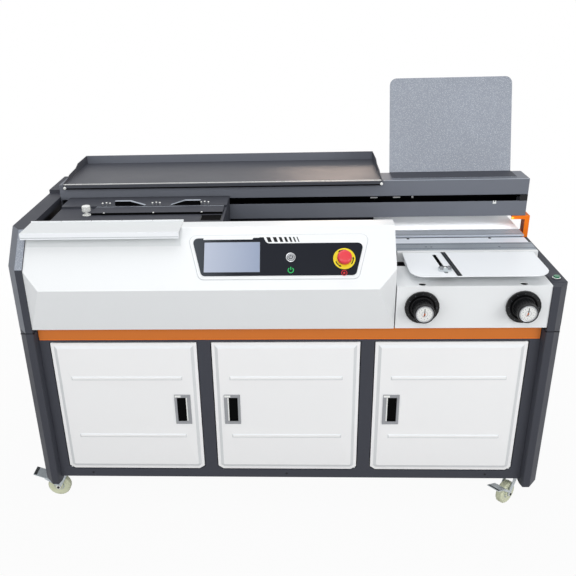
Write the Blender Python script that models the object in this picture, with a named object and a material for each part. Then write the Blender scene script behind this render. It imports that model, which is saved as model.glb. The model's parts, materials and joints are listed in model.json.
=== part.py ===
"""A free-standing perfect binding machine on casters, built as separate pieces.

Metres, +Z up. The machine is laid out with x = 0 in the middle of the doors, y = 0 at
the door fronts (y grows towards the back) and z = 0 on the floor. One empty then moves
it so that the origin is the middle of its footprint.
"""
import math

import bmesh
import bpy
from mathutils import Matrix, Vector

# Fits shared by all pieces
GAP = 0.0003                # between pieces that rest against each other
RUN_GAP = 0.0005            # between pieces that slide or turn on each other
CUT = 0.010                 # how far a cutter runs past the face it opens
SINK = 0.001                # how far a fused feature is rooted in what carries it

# Cabinet
HALF_WIDTH = 0.785
REAR_Y = 0.610
POST_FRONT_Y = -0.020
POST_BACK_Y = 0.0205
POST_CHAMFER_X = 0.030
POST_CHAMFER_Y = 0.036
POST_FACE_WIDTH = 0.021
POST_RETURN_X = 0.005
POST_RETURN_Y = 0.020
SIDE_THICKNESS = 0.004
SIDE_BOTTOM_Z = 0.095
JOINT_Z = 0.640
FRAME_BOTTOM_Z = 0.112
FRAME_RISE = 0.011
FRAME_FRONT_Y = 0.002
FRAME_DEPTH = 0.020
TRIM_HEIGHT = 0.044
TRIM_THICKNESS = 0.004
TRIM_END_INSET = 0.002
FLOOR_THICKNESS = 0.004
BACK_THICKNESS = 0.003
BED_THICKNESS = 0.006

# Doors
DOOR_STILE = 0.0442
DOOR_END_STILE = 0.0329
DOOR_BOTTOM_RAIL = 0.033
DOOR_TOP_RAIL = 0.054
DOOR_THICKNESS = 0.018
DOOR_GAP = 0.003
DOOR_CORNER_X = 0.016
DOOR_CORNER_Z = 0.011
DOOR_MARGIN = 0.009
DOOR_BEVEL = 0.009
DOOR_RELIEF = 0.003
DOOR_WALL = 0.003
DOOR_BORDER = 0.014
RIB_INSET = 0.049
RIB_HEIGHT = 0.013
RIB_RELIEF = 0.003
RIB_LEVEL_SHARES = (0.281, 0.737)
PIVOT_INSET = 0.005
PIVOT_RADIUS = 0.002
PIVOT_LENGTH = 0.006
PULL_WIDTH = 0.049
PULL_HEIGHT = 0.104
PULL_LEVEL_SHARE = 0.4956
PULL_EDGE_OFFSET = 0.0535
PULL_FLANGE = 0.0025
PULL_FLANGE_OVERLAP = 0.004
PULL_CUP_DEPTH = 0.0165
PULL_WALL = 0.002
PULL_SLOT_WIDTH = 0.024
PULL_SLOT_HEIGHT = 0.084
PULL_SLOT_SHIFT = 0.005
PULL_FLANK = 0.011

# Casters
WHEEL_RADIUS = 0.0375
WHEEL_WIDTH = 0.024
WHEEL_EDGE = 0.004
WHEEL_BORE_RADIUS = 0.0045
HUB_RADIUS = 0.014
HUB_RELIEF = 0.003
CASTER_TRAIL = 0.035
CASTER_INSET = 0.058
CASTER_FRONT_Y = 0.055
CASTER_REAR_MARGIN = 0.065
CASTER_PLATE_X = 0.060
CASTER_PLATE_Y = 0.056
CASTER_PLATE_THICKNESS = 0.004
KINGPIN_RADIUS = 0.006
KINGPIN_LENGTH = 0.016
CROWN_RADIUS = 0.027
CROWN_THICKNESS = 0.009
FORK_ARM_THICKNESS = 0.003
FORK_ARM_GAP = 0.0025
FORK_ARM_WIDTH = 0.016
AXLE_RADIUS = 0.004
PEDAL_THICKNESS = 0.003
PEDAL_REACH = 0.111
PEDAL_ROOT = 0.066
PEDAL_TIP_Z = 0.092
PEDAL_ROOT_Z = 0.072
CASTER_TURNS_DEG = {"front_left": 180, "front_right": 222, "rear_left": 100, "rear_right": 65}

# Upper side walls
UPPER_WALL = 0.051
LEFT_KINK_DROP = 0.0935
LEFT_WALL_HEIGHT = 0.2925
LEFT_STEP_Y = 0.435
LEFT_STEP_HEIGHT = 0.0115
RIGHT_WALL_HEIGHT = 0.137
RIGHT_END_Y = 0.460
RIGHT_REAR_DROP = 0.077
WALL_SKIN = 0.005
WALL_BORDER = 0.020
POCKET_FRONT = 0.046

# Front casing
CASING_RIGHT_INSET = 0.4266
CASING_FRONT_Y = -0.0187
CASING_FOLD_Y = -0.0559
CASING_SLOPE_RISE = 0.1432
CASING_SLOPE_DEG = 49.9
CASING_LEFT_STEP = 0.0002
CASING_BACK_Y = 0.1106
CASING_MITRE = 0.0493
CASING_WALL = 0.003
CASING_FLANGE = 0.030

# Lid over the filling mouth
LID_OVERLAP = 0.0025
LID_LENGTH = 0.4465
LID_FRONT_Y = 0.0110
LID_THICKNESS = 0.0025
LID_LIP = 0.018
LID_BARREL_RADIUS = 0.003
MOUTH_MARGIN_X = 0.020
MOUTH_MARGIN_Y = 0.010

# Control panel, measured up the slope from the fold
PANEL_LEFT_TOP_OFFSET = 0.5652
PANEL_LEFT_LOW_OFFSET = 0.5359
PANEL_RIGHT_TOP_OFFSET = 0.088
PANEL_RIGHT_LOW_OFFSET = 0.112
PANEL_STEP_OFFSET = 0.3654
PANEL_STEP_RUN = 0.010
PANEL_LOW_UP = 0.040
PANEL_RIGHT_UP = 0.134
PANEL_LEFT_UP = 0.151
PANEL_THICKNESS = 0.0015
PANEL_CORNER = 0.013
SURROUND_WIDTH = 0.009
SURROUND_HEIGHT = 0.0025
SCREEN_LEFT_OFFSET = 0.5302
SCREEN_RIGHT_OFFSET = 0.3743
SCREEN_LOW_UP = 0.0500
SCREEN_HIGH_UP = 0.1388
POWER_OFFSET = 0.2897
POWER_UP = 0.0918
POWER_RADIUS = 0.0095
POWER_RING_RADIUS = 0.0135
POWER_RING_HEIGHT = 0.003
POWER_PROUD = 0.005
POWER_STEM = 0.022
ESTOP_OFFSET = 0.1431
ESTOP_UP = 0.0868
ESTOP_RING_RADIUS = 0.030
ESTOP_RING_HEIGHT = 0.002
ESTOP_STEM_RADIUS = 0.011
ESTOP_STEM = 0.025
ESTOP_CAP_RADIUS = 0.020
ESTOP_CAP_BASE = 0.008
ESTOP_CAP_TOP = 0.023
ESTOP_CAP_CROWN_SHARE = 0.72

# Wing on the right
WING_SEAM = 0.0036
WING_FRONT_Y = -0.0168
WING_RISE = 0.0033
WING_BACK_Y = 0.1900
WING_WALL = 0.003
LIP_DEPTH = 0.014
LIP_LEFT_INSET = 0.025
LIP_OVERHANG = 0.016
WING_NOTCH_X = 0.045
WING_NOTCH_Y = 0.040
KNOB_LEFT_INSET = 0.071
KNOB_RIGHT_INSET = 0.074
KNOB_DROP = 0.0623
KNOB_BASE_RADIUS = 0.048
KNOB_BASE_THICKNESS = 0.007
KNOB_ROOT_RADIUS = 0.031
KNOB_CAP_RADIUS = 0.0285
KNOB_LENGTH = 0.042
KNOB_SHAFT_RADIUS = 0.006
KNOB_SHAFT_LENGTH = 0.060
ACCESS_HOLE_RADIUS = 0.010
ACCESS_HOLE_Y = -0.001
START_INSET = 0.0253
START_Y = 0.0367
START_RADIUS = 0.0085
START_PROUD = 0.010
START_STEM = 0.020
START_COLLAR_RADIUS = 0.0125
START_COLLAR_HEIGHT = 0.005
START_PLATE_X = 0.038
START_PLATE_Y = 0.050
START_PLATE_HEIGHT = 0.0015

# Cover table
TABLE_LEFT_INSET = 0.038
TABLE_RIGHT_INSET = 0.001
TABLE_FRONT_Y = -0.013
TABLE_BACK_Y = 0.172
TABLE_RISE = 0.0282
TABLE_THICKNESS = 0.003
TABLE_LEFT_CORNER_X = 0.036
TABLE_RIGHT_CORNER_X = 0.050
TABLE_CORNER_Y = 0.050
RUNNER_LEFT_INSET = 0.051
RUNNER_RIGHT_INSET = 0.053
RUNNER_THICKNESS = 0.012
RUNNER_FRONT_Y = 0.060
RUNNER_BACK_Y = 0.150
STRIP_INSET = 0.1255
STRIP_WIDTH = 0.013
STRIP_HEIGHT = 0.001
SLOT_SKEW_DEG = 3.8
SLOT_INSET = 0.0955
SLOT_WIDTH = 0.011
SLOT_FRONT_Y = 0.010
SLOT_BACK_Y = 0.158
STOP_LENGTH = 0.036
STOP_DEPTH = 0.012
STOP_HEIGHT = 0.009
STOP_Y = 0.028

# Beam, tray and backboard
BEAM_END_GAP = 0.0003
BEAM_RIGHT_INSET = 0.0155
BEAM_FRONT_Y = 0.3875
BEAM_BACK_Y = 0.486
BEAM_CLEARANCE = 0.0735
BEAM_HEIGHT = 0.1215
BEAM_WALL = 0.003
BEAM_SLOT_RISE = 0.0495
BEAM_SLOT_HEIGHT = 0.021
RAIL_SIZE = 0.018
RAIL_Y = 0.440
BRACKET_WALL = 0.003
BRACKET_BACK_Y = 0.460
BRACKET_WIDTH = 0.0585
BRACKET_FACE = 0.016
BRACKET_BAR = 0.012
TRAY_LEFT_INSET = 0.018
TRAY_RIGHT_INSET = 0.0014
TRAY_FRONT_Y = 0.373
TRAY_BACK_Y = 0.672
TRAY_WALL = 0.002
TRAY_LIP = 0.012
TRAY_BACK_HEIGHT = 0.030
TRAY_FRONT_HEIGHT = 0.006
TRAY_STEP_SHARES = (0.0, 0.18, 0.26, 0.52, 0.62)
TRAY_HEIGHT_SHARES = (0.0, 0.22, 0.48, 0.62, 1.0)
BOARD_TRAY_GAP = 0.036
BOARD_RIGHT_INSET = 0.0004
BOARD_FOLD_Y = 0.482
BOARD_FOOT = 0.075
BOARD_HEIGHT = 0.302
BOARD_LEAN_DEG = 18.8
BOARD_CORNER = 0.022
BOARD_THICKNESS = 0.002

# Clamp carriage that carries the book over the stations
CARRIAGE_LEFT_INSET = 0.034
CARRIAGE_LENGTH = 0.52
CARRIAGE_FRONT_Y = 0.120
CARRIAGE_BACK_Y = 0.384
CARRIAGE_DECK_DROP = 0.007
CARRIAGE_HEIGHT = 0.08
CARRIAGE_LOW_DROP = 0.0005
CARRIAGE_DECK_THICKNESS = 0.004
CARRIAGE_END = 0.006
BOOK_Y = 0.2815
BOOK_GAP = 0.006
JAW_LEFT_INSET = 0.112
JAW_RIGHT_INSET = 0.007
JAW_FRONT_Y = 0.214
JAW_WALL = 0.012
JAW_TRAVEL = 0.040
GUIDE_LEFT_INSET = 0.058
GUIDE_RIGHT_INSET = 0.075
GUIDE_LENGTH = 0.097
GUIDE_FLAT_SHARE = 0.5
GUIDE_HEIGHT = 0.014
GUIDE_DEPTH = 0.012
GUIDE_SETBACK = 0.003
ARM_INSET = 0.26
ARM_LENGTH = 0.120
ARM_HEIGHT = 0.014
SLIDER_DEPTH = 0.034
STOP_KNOB_INSET = 0.098
STOP_KNOB_Y = 0.218
STOP_KNOB_RADIUS = 0.0125
STOP_KNOB_NECK = 0.005
STOP_KNOB_NECK_HEIGHT = 0.012
STOP_KNOB_HEIGHT = 0.017
STOP_KNOB_SHANK = 0.010

# Nipping station
NIP_LEFT_INSET = 0.011
NIP_OVERHANG = 0.016
NIP_FRONT_Y = 0.193
NIP_FRONT_DEPTH = 0.057
NIP_REAR_Y = 0.318
NIP_REAR_DEPTH = 0.056
NIP_RISE = 0.0015
NIP_PLATE = 0.006
SPINE_DEPTH = 0.065
SPINE_BAR = 0.008
CARRIER_THICKNESS = 0.010
CARRIER_MARGIN = 0.003
NIP_FOOT = 0.016
NIP_ROD_RADIUS = 0.010
NIP_ROD_LENGTH = 0.060
NIP_ROD_LEFT_INSET = 0.070
NIP_ROD_RIGHT_INSET = 0.070
NIP_BASE_LEFT_INSET = 0.028
NIP_BASE_RIGHT_INSET = 0.05
NIP_BASE_LEG = 0.015
NIP_BASE_TOP = 0.012
NIP_BASE_DEPTH = 0.120
SHEET_OVERLAP = 0.022
SHEET_FRONT_Y = 0.380
SHEET_BACK_Y = 0.520
SHEET_THICKNESS = 0.003
REAR_COVER_GAP = 0.0055
REAR_COVER_SHELF = 0.060
REAR_COVER_WALL = 0.003

# Milling and gluing stations
CUTTER_SPACING = 0.215
CUTTER_RADIUS = 0.055
CUTTER_THICKNESS = 0.008
CUTTER_DROP = 0.01
CUTTER_SHAFT_RADIUS = 0.008
CUTTER_SHAFT_LENGTH = 0.036
MOTOR_RADIUS = 0.060
MOTOR_DROP = 0.028
MOTOR_BORE_DEPTH = 0.022
TANK_SPACING = 0.127
TANK_WIDTH = 0.190
TANK_DEPTH = 0.120
TANK_WALL = 0.004
TANK_DROP = 0.015
ROLLER_RADIUS = 0.030
ROLLER_DROP = 0.005
ROLLER_AXLE_RADIUS = 0.005
ROLLER_END_GAP = 0.002
INLET_INSET = 0.225
INLET_Z = 0.200
INLET_WIDTH = 0.048
INLET_HEIGHT = 0.056
INLET_DEPTH = 0.028
INLET_FLANGE = 0.003
INLET_WALL = 0.006
INLET_SOCKET_DEPTH = 0.020

# How finely pieces are divided, joined and shaded
SMALL_SIDES = 12
ROUND_SIDES = 24
MERGE_DISTANCE = 0.00001
FLAT_DEG = 0.2
SHARP_DEG = 35
MITRE_LIMIT_SHARE = 0.2

# Places that follow from the sizes above
CASING_SLOPE = math.radians(CASING_SLOPE_DEG)
POST_INNER_X = HALF_WIDTH - POST_CHAMFER_X - POST_FACE_WIDTH - POST_RETURN_X
DOOR_WIDTH = 2 * (POST_INNER_X - DOOR_END_STILE - DOOR_STILE) / 3
DOOR_PITCH = DOOR_WIDTH + DOOR_STILE
DOOR_CENTRES = (-DOOR_PITCH, 0.0, DOOR_PITCH)
FRAME_TOP_Z = JOINT_Z + FRAME_RISE
TRIM_BOTTOM_Z = FRAME_TOP_Z - TRIM_HEIGHT
DOOR_TOP_Z = FRAME_TOP_Z - DOOR_TOP_RAIL
DOOR_BOTTOM_Z = FRAME_BOTTOM_Z + DOOR_BOTTOM_RAIL
RIGHT_TOP_Z = JOINT_Z + RIGHT_WALL_HEIGHT
RIGHT_REAR_Z = RIGHT_TOP_Z - RIGHT_REAR_DROP
LEFT_TOP_Z = JOINT_Z + LEFT_WALL_HEIGHT
LEFT_KINK_Z = LEFT_TOP_Z - LEFT_KINK_DROP
LEFT_STEP_TOP_Z = LEFT_TOP_Z + LEFT_STEP_HEIGHT
CASTER_REAR_Y = REAR_Y - CASTER_REAR_MARGIN
CASING_TOP_Z = LEFT_TOP_Z + CASING_LEFT_STEP
CASING_FOLD_Z = CASING_TOP_Z - CASING_SLOPE_RISE
WING_TOP_Z = RIGHT_TOP_Z + WING_RISE
KNOB_Z = WING_TOP_Z - KNOB_DROP
TABLE_TOP_Z = WING_TOP_Z + TABLE_RISE
LIP_TOP_Z = TABLE_TOP_Z
NIP_TOP_Z = TABLE_TOP_Z + NIP_RISE
BEAM_LOW_Z = RIGHT_TOP_Z + BEAM_CLEARANCE
BEAM_TOP_Z = BEAM_LOW_Z + BEAM_HEIGHT
SLOT_LOW_Z = BEAM_LOW_Z + BEAM_SLOT_RISE
SLOT_HIGH_Z = SLOT_LOW_Z + BEAM_SLOT_HEIGHT
CARRIAGE_LOW_Z = BEAM_LOW_Z - CARRIAGE_LOW_DROP
CARRIAGE_TOP_Z = CARRIAGE_LOW_Z + CARRIAGE_HEIGHT
CARRIAGE_DECK_Z = CARRIAGE_TOP_Z - CARRIAGE_DECK_DROP
REAR_COVER_TOP_Z = BEAM_LOW_Z - REAR_COVER_GAP
CUTTER_TOP_Z = NIP_TOP_Z - CUTTER_DROP
MOTOR_TOP_Z = CUTTER_TOP_Z - MOTOR_DROP
ROLLER_TOP_Z = NIP_TOP_Z - ROLLER_DROP
TANK_TOP_Z = ROLLER_TOP_Z - TANK_DROP
DOOR_HEIGHT = DOOR_TOP_Z - DOOR_BOTTOM_Z
RIB_LEVELS = tuple(DOOR_BOTTOM_Z + DOOR_HEIGHT * share for share in RIB_LEVEL_SHARES)
PULL_LEVEL = DOOR_BOTTOM_Z + DOOR_HEIGHT * PULL_LEVEL_SHARE
BED_TOP_Z = JOINT_Z - GAP
FLAT_ANGLE = math.radians(FLAT_DEG)
SHARP_ANGLE = math.radians(SHARP_DEG)

UPPER_INNER_X = HALF_WIDTH - UPPER_WALL
CASTER_X = HALF_WIDTH - CASTER_INSET
START_X = HALF_WIDTH - START_INSET
CASING_RIGHT_X = UPPER_INNER_X - CASING_RIGHT_INSET
PANEL_LEFT_TOP_X = CASING_RIGHT_X - PANEL_LEFT_TOP_OFFSET
PANEL_LEFT_LOW_X = CASING_RIGHT_X - PANEL_LEFT_LOW_OFFSET
PANEL_RIGHT_TOP_X = CASING_RIGHT_X - PANEL_RIGHT_TOP_OFFSET
PANEL_RIGHT_LOW_X = CASING_RIGHT_X - PANEL_RIGHT_LOW_OFFSET
PANEL_STEP_X = CASING_RIGHT_X - PANEL_STEP_OFFSET
SCREEN_LEFT_X = CASING_RIGHT_X - SCREEN_LEFT_OFFSET
SCREEN_RIGHT_X = CASING_RIGHT_X - SCREEN_RIGHT_OFFSET
POWER_X = CASING_RIGHT_X - POWER_OFFSET
ESTOP_X = CASING_RIGHT_X - ESTOP_OFFSET
WING_LEFT_X = CASING_RIGHT_X + WING_SEAM
LIP_LEFT_X = WING_LEFT_X + LIP_LEFT_INSET
LIP_RIGHT_X = UPPER_INNER_X + LIP_OVERHANG
KNOB_LEFT_X = WING_LEFT_X + KNOB_LEFT_INSET
KNOB_RIGHT_X = UPPER_INNER_X - KNOB_RIGHT_INSET
TABLE_LEFT_X = WING_LEFT_X + TABLE_LEFT_INSET
TABLE_RIGHT_X = UPPER_INNER_X - TABLE_RIGHT_INSET
STRIP_X = TABLE_LEFT_X + STRIP_INSET
SLOT_X = TABLE_LEFT_X + SLOT_INSET
LID_LEFT_X = -UPPER_INNER_X - LID_OVERLAP
LID_RIGHT_X = LID_LEFT_X + LID_LENGTH
BEAM_LEFT_X = -UPPER_INNER_X + BEAM_END_GAP
BEAM_RIGHT_X = HALF_WIDTH - BEAM_RIGHT_INSET
BRACKET_LEFT_X = HALF_WIDTH - BRACKET_WIDTH
TRAY_LEFT_X = -UPPER_INNER_X + TRAY_LEFT_INSET
TRAY_RIGHT_X = CASING_RIGHT_X - TRAY_RIGHT_INSET
BOARD_RIGHT_X = UPPER_INNER_X - BOARD_RIGHT_INSET
BOARD_LEFT_X = TRAY_RIGHT_X + BOARD_TRAY_GAP
CARRIAGE_LEFT_X = -UPPER_INNER_X + CARRIAGE_LEFT_INSET
CARRIAGE_RIGHT_X = CARRIAGE_LEFT_X + CARRIAGE_LENGTH
JAW_LEFT_X = CARRIAGE_LEFT_X + JAW_LEFT_INSET
JAW_RIGHT_X = CARRIAGE_RIGHT_X - JAW_RIGHT_INSET
ARM_X = CARRIAGE_LEFT_X + ARM_INSET
STOP_KNOB_X = CARRIAGE_LEFT_X + STOP_KNOB_INSET
NIP_RIGHT_X = UPPER_INNER_X + NIP_OVERHANG
NIP_LEFT_X = WING_LEFT_X + NIP_LEFT_INSET
NIP_BASE_LEFT_X = NIP_LEFT_X + NIP_BASE_LEFT_INSET
NIP_BASE_RIGHT_X = NIP_RIGHT_X - NIP_BASE_RIGHT_INSET
SHEET_LEFT_X = NIP_LEFT_X - SHEET_OVERLAP
TANK_X = NIP_LEFT_X - TANK_SPACING
CUTTER_X = TANK_X - CUTTER_SPACING
INLET_X = HALF_WIDTH - INLET_INSET
GUIDE_XS = (JAW_LEFT_X + GUIDE_LEFT_INSET, JAW_RIGHT_X - GUIDE_RIGHT_INSET)
NIP_ROD_XS = (NIP_BASE_LEFT_X + NIP_ROD_LEFT_INSET, NIP_BASE_RIGHT_X - NIP_ROD_RIGHT_INSET)
RUNNER_XS = (TABLE_LEFT_X + RUNNER_LEFT_INSET, TABLE_RIGHT_X - RUNNER_RIGHT_INSET)

# Paint and metal finishes: colour, roughness, metallic
FINISHES = {
    "frame_paint": ((0.062, 0.066, 0.075), 0.55, 0.0),
    "white_paint": ((0.86, 0.87, 0.88), 0.35, 0.0),
    "orange_paint": ((0.62, 0.20, 0.05), 0.40, 0.0),
    "beam_paint": ((0.10, 0.11, 0.13), 0.45, 0.0),
    "chrome": ((0.75, 0.76, 0.78), 0.15, 1.0),
    "zinc": ((0.60, 0.62, 0.64), 0.35, 1.0),
    "ground_steel": ((0.50, 0.52, 0.55), 0.30, 1.0),
    "black_plastic": ((0.02, 0.02, 0.022), 0.40, 0.0),
    "panel_film": ((0.035, 0.038, 0.048), 0.25, 0.0),
    "screen_glass": ((0.40, 0.46, 0.58), 0.10, 0.0),
    "red_plastic": ((0.75, 0.05, 0.06), 0.35, 0.0),
    "green_plastic": ((0.03, 0.16, 0.10), 0.35, 0.0),
    "cream_nylon": ((0.72, 0.74, 0.52), 0.45, 0.0),
    "cast_iron": ((0.12, 0.12, 0.13), 0.60, 0.6),
}

for leftover in list(bpy.data.objects):
    bpy.data.objects.remove(leftover, do_unlink=True)
machine = bpy.data.collections.new("perfect_binding_machine")
bpy.context.scene.collection.children.link(machine)
root = bpy.data.objects.new("machine_origin", None)
machine.objects.link(root)
materials = {}


def finish(name):
    """The shared Principled material of one finish."""
    if name not in materials:
        colour, roughness, metallic = FINISHES[name]
        material = bpy.data.materials.new(name)
        material.use_nodes = True
        shader = material.node_tree.nodes["Principled BSDF"]
        shader.inputs["Base Color"].default_value = (*colour, 1.0)
        shader.inputs["Roughness"].default_value = roughness
        shader.inputs["Metallic"].default_value = metallic
        materials[name] = material
    return materials[name]


def temporary(mesh):
    """A working object for a mesh, on its way into a fused piece."""
    obj = bpy.data.objects.new(mesh.name, mesh)
    machine.objects.link(obj)
    return obj


def from_bmesh(bm, name="solid"):
    """A working object from a bmesh, with its faces turned outwards."""
    bmesh.ops.recalc_face_normals(bm, faces=bm.faces)
    mesh = bpy.data.meshes.new(name)
    bm.to_mesh(mesh)
    bm.free()
    return temporary(mesh)


def box(x_span, y_span, z_span):
    """A block between three pairs of limits."""
    spans = (x_span, y_span, z_span)
    bm = bmesh.new()
    size = [abs(high - low) for low, high in spans]
    middle = [(low + high) / 2 for low, high in spans]
    bmesh.ops.create_cube(bm, size=1.0, matrix=Matrix.Translation(middle) @ Matrix.Diagonal((*size, 1.0)))
    return from_bmesh(bm)


AXIS_TURNS = {
    "X": Matrix.Rotation(math.radians(90), 4, "Y"),
    "Y": Matrix.Rotation(math.radians(-90), 4, "X"),
    "Z": Matrix.Identity(4),
}


def tube(start, length, radius, axis, end_radius=None, sides=ROUND_SIDES):
    """A round solid that grows from start along an axis or a direction, tapered if asked."""
    turn = AXIS_TURNS[axis] if isinstance(axis, str) else axis
    bm = bmesh.new()
    bmesh.ops.create_cone(bm, cap_ends=True, segments=sides, radius1=radius,
                          radius2=radius if end_radius is None else end_radius, depth=length)
    bmesh.ops.translate(bm, verts=bm.verts, vec=(0, 0, length / 2))
    bmesh.ops.transform(bm, matrix=Matrix.Translation(start) @ turn, verts=bm.verts)
    return from_bmesh(bm)


def to_axes(axis, u, v, w):
    """The point at (u, v) in the outline's plane and w along the axis."""
    return {"X": (w, u, v), "Y": (u, w, v), "Z": (u, v, w)}[axis]


def loft(sections):
    """A solid through outlines that have the same number of points."""
    bm = bmesh.new()
    rings = [[bm.verts.new(point) for point in section] for section in sections]
    for ring, following in zip(rings, rings[1:]):
        for index in range(len(ring)):
            after = (index + 1) % len(ring)
            bm.faces.new((ring[index], ring[after], following[after], following[index]))
    bm.faces.new(rings[0])
    bm.faces.new(reversed(rings[-1]))
    return from_bmesh(bm)


def prism(outline, low, high, axis):
    """A flat outline pushed out from low to high along an axis."""
    bm = bmesh.new()
    corners = [bm.verts.new(to_axes(axis, u, v, low)) for u, v in outline]
    face = bm.faces.new(corners)
    grown = bmesh.ops.extrude_face_region(bm, geom=[face])["geom"]
    top = [item for item in grown if isinstance(item, bmesh.types.BMVert)]
    bmesh.ops.translate(bm, verts=top, vec=to_axes(axis, 0, 0, high - low))
    return from_bmesh(bm)


def fuse(name, finish_name, pieces, cutters=(), pivot=None):
    """Join pieces into one body, take the cutters out of it and name the result."""
    body = pieces[0]
    steps = [(piece, "UNION") for piece in pieces[1:]] + [(cutter, "DIFFERENCE") for cutter in cutters]
    for tool, operation in steps:
        modifier = body.modifiers.new(operation.lower(), "BOOLEAN")
        modifier.operation = operation
        modifier.solver = "EXACT"
        modifier.object = tool
    bpy.context.view_layer.update()
    graph = bpy.context.evaluated_depsgraph_get()
    mesh = bpy.data.meshes.new_from_object(body.evaluated_get(graph))
    for working in [body] + [tool for tool, _ in steps]:
        bpy.data.objects.remove(working, do_unlink=True)
    bm = bmesh.new()
    bm.from_mesh(mesh)
    bmesh.ops.remove_doubles(bm, verts=bm.verts, dist=MERGE_DISTANCE)
    bmesh.ops.dissolve_limit(bm, angle_limit=FLAT_ANGLE, verts=bm.verts, edges=bm.edges)
    place = Vector(pivot) if pivot else Vector((0, 0, 0))
    bmesh.ops.translate(bm, verts=bm.verts, vec=-place)
    bmesh.ops.triangulate(bm, faces=bm.faces)
    bm.to_mesh(mesh)
    bm.free()
    mesh.name = name
    mesh.materials.clear()
    mesh.materials.append(finish(finish_name))
    mesh.shade_smooth()
    mesh.set_sharp_from_angle(angle=SHARP_ANGLE)
    piece = bpy.data.objects.new(name, mesh)
    machine.objects.link(piece)
    piece.location = place
    piece.parent = root
    return piece


def inset(outline, distance):
    """The same outline moved inwards by a distance, corner by corner."""
    area = sum(a[0] * b[1] - b[0] * a[1] for a, b in zip(outline, outline[1:] + outline[:1]))
    side = math.copysign(1.0, area)
    moved = []
    for before, here, after in zip(outline[-1:] + outline[:-1], outline, outline[1:] + outline[:1]):
        first = (Vector(here) - Vector(before)).normalized()
        second = (Vector(after) - Vector(here)).normalized()
        bisector = Vector((-first.y - second.y, first.x + second.x)).normalized() * side
        reach = distance / max(bisector.dot(Vector((-first.y, first.x)) * side), MITRE_LIMIT_SHARE)
        moved.append(tuple(Vector(here) + bisector * reach))
    return moved


def rounded(outline, radius, steps=4):
    """The outline with each corner turned into an arc."""
    points = []
    for before, here, after in zip(outline[-1:] + outline[:-1], outline, outline[1:] + outline[:1]):
        corner = Vector(here)
        first = (Vector(before) - corner).normalized()
        second = (Vector(after) - corner).normalized()
        half = first.angle(second) / 2
        centre = corner + (first + second).normalized() * radius / math.sin(half)
        start = corner + first * radius / math.tan(half) - centre
        end = corner + second * radius / math.tan(half) - centre
        for step in range(steps + 1):
            share = step / steps
            arm = start.slerp(end, share).normalized() * radius
            points.append(tuple(centre + arm))
    return points


def rectangle(u_span, v_span):
    """The four corners of a rectangle, anticlockwise."""
    (u_low, u_high), (v_low, v_high) = u_span, v_span
    return [(u_low, v_low), (u_high, v_low), (u_high, v_high), (u_low, v_high)]


def post_outline(side, inner_x):
    """Plan of a lower side: chamfered front post with the side sheet running back."""
    face_x = HALF_WIDTH - POST_CHAMFER_X
    points = [
        (HALF_WIDTH, REAR_Y),
        (HALF_WIDTH, POST_FRONT_Y + POST_CHAMFER_Y),
        (face_x, POST_FRONT_Y),
        (face_x - POST_FACE_WIDTH, POST_FRONT_Y),
        (inner_x, POST_FRONT_Y + POST_RETURN_Y),
        (inner_x, POST_BACK_Y),
        (HALF_WIDTH - SIDE_THICKNESS, POST_BACK_Y),
        (HALF_WIDTH - SIDE_THICKNESS, REAR_Y),
    ]
    return [(side * x, y) for x, y in points]


def make_lower_sides():
    for name, side in (("side_lower_left", -1), ("side_lower_right", 1)):
        outline = post_outline(side, POST_INNER_X)
        fuse(name, "frame_paint", [prism(outline, SIDE_BOTTOM_Z, JOINT_Z - GAP, "Z")])


def upper_wall(side, profile):
    """An upper side wall whose outer front edge is chamfered like the post below it."""
    chamfered = [(y + POST_CHAMFER_Y if index in (0, 1, 2) else y, z)
                 for index, (y, z) in enumerate(profile)]
    places = ((HALF_WIDTH, chamfered), (HALF_WIDTH - POST_CHAMFER_X, profile), (UPPER_INNER_X, profile))
    return loft([[(side * x, y, z) for y, z in outline] for x, outline in places])


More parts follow.
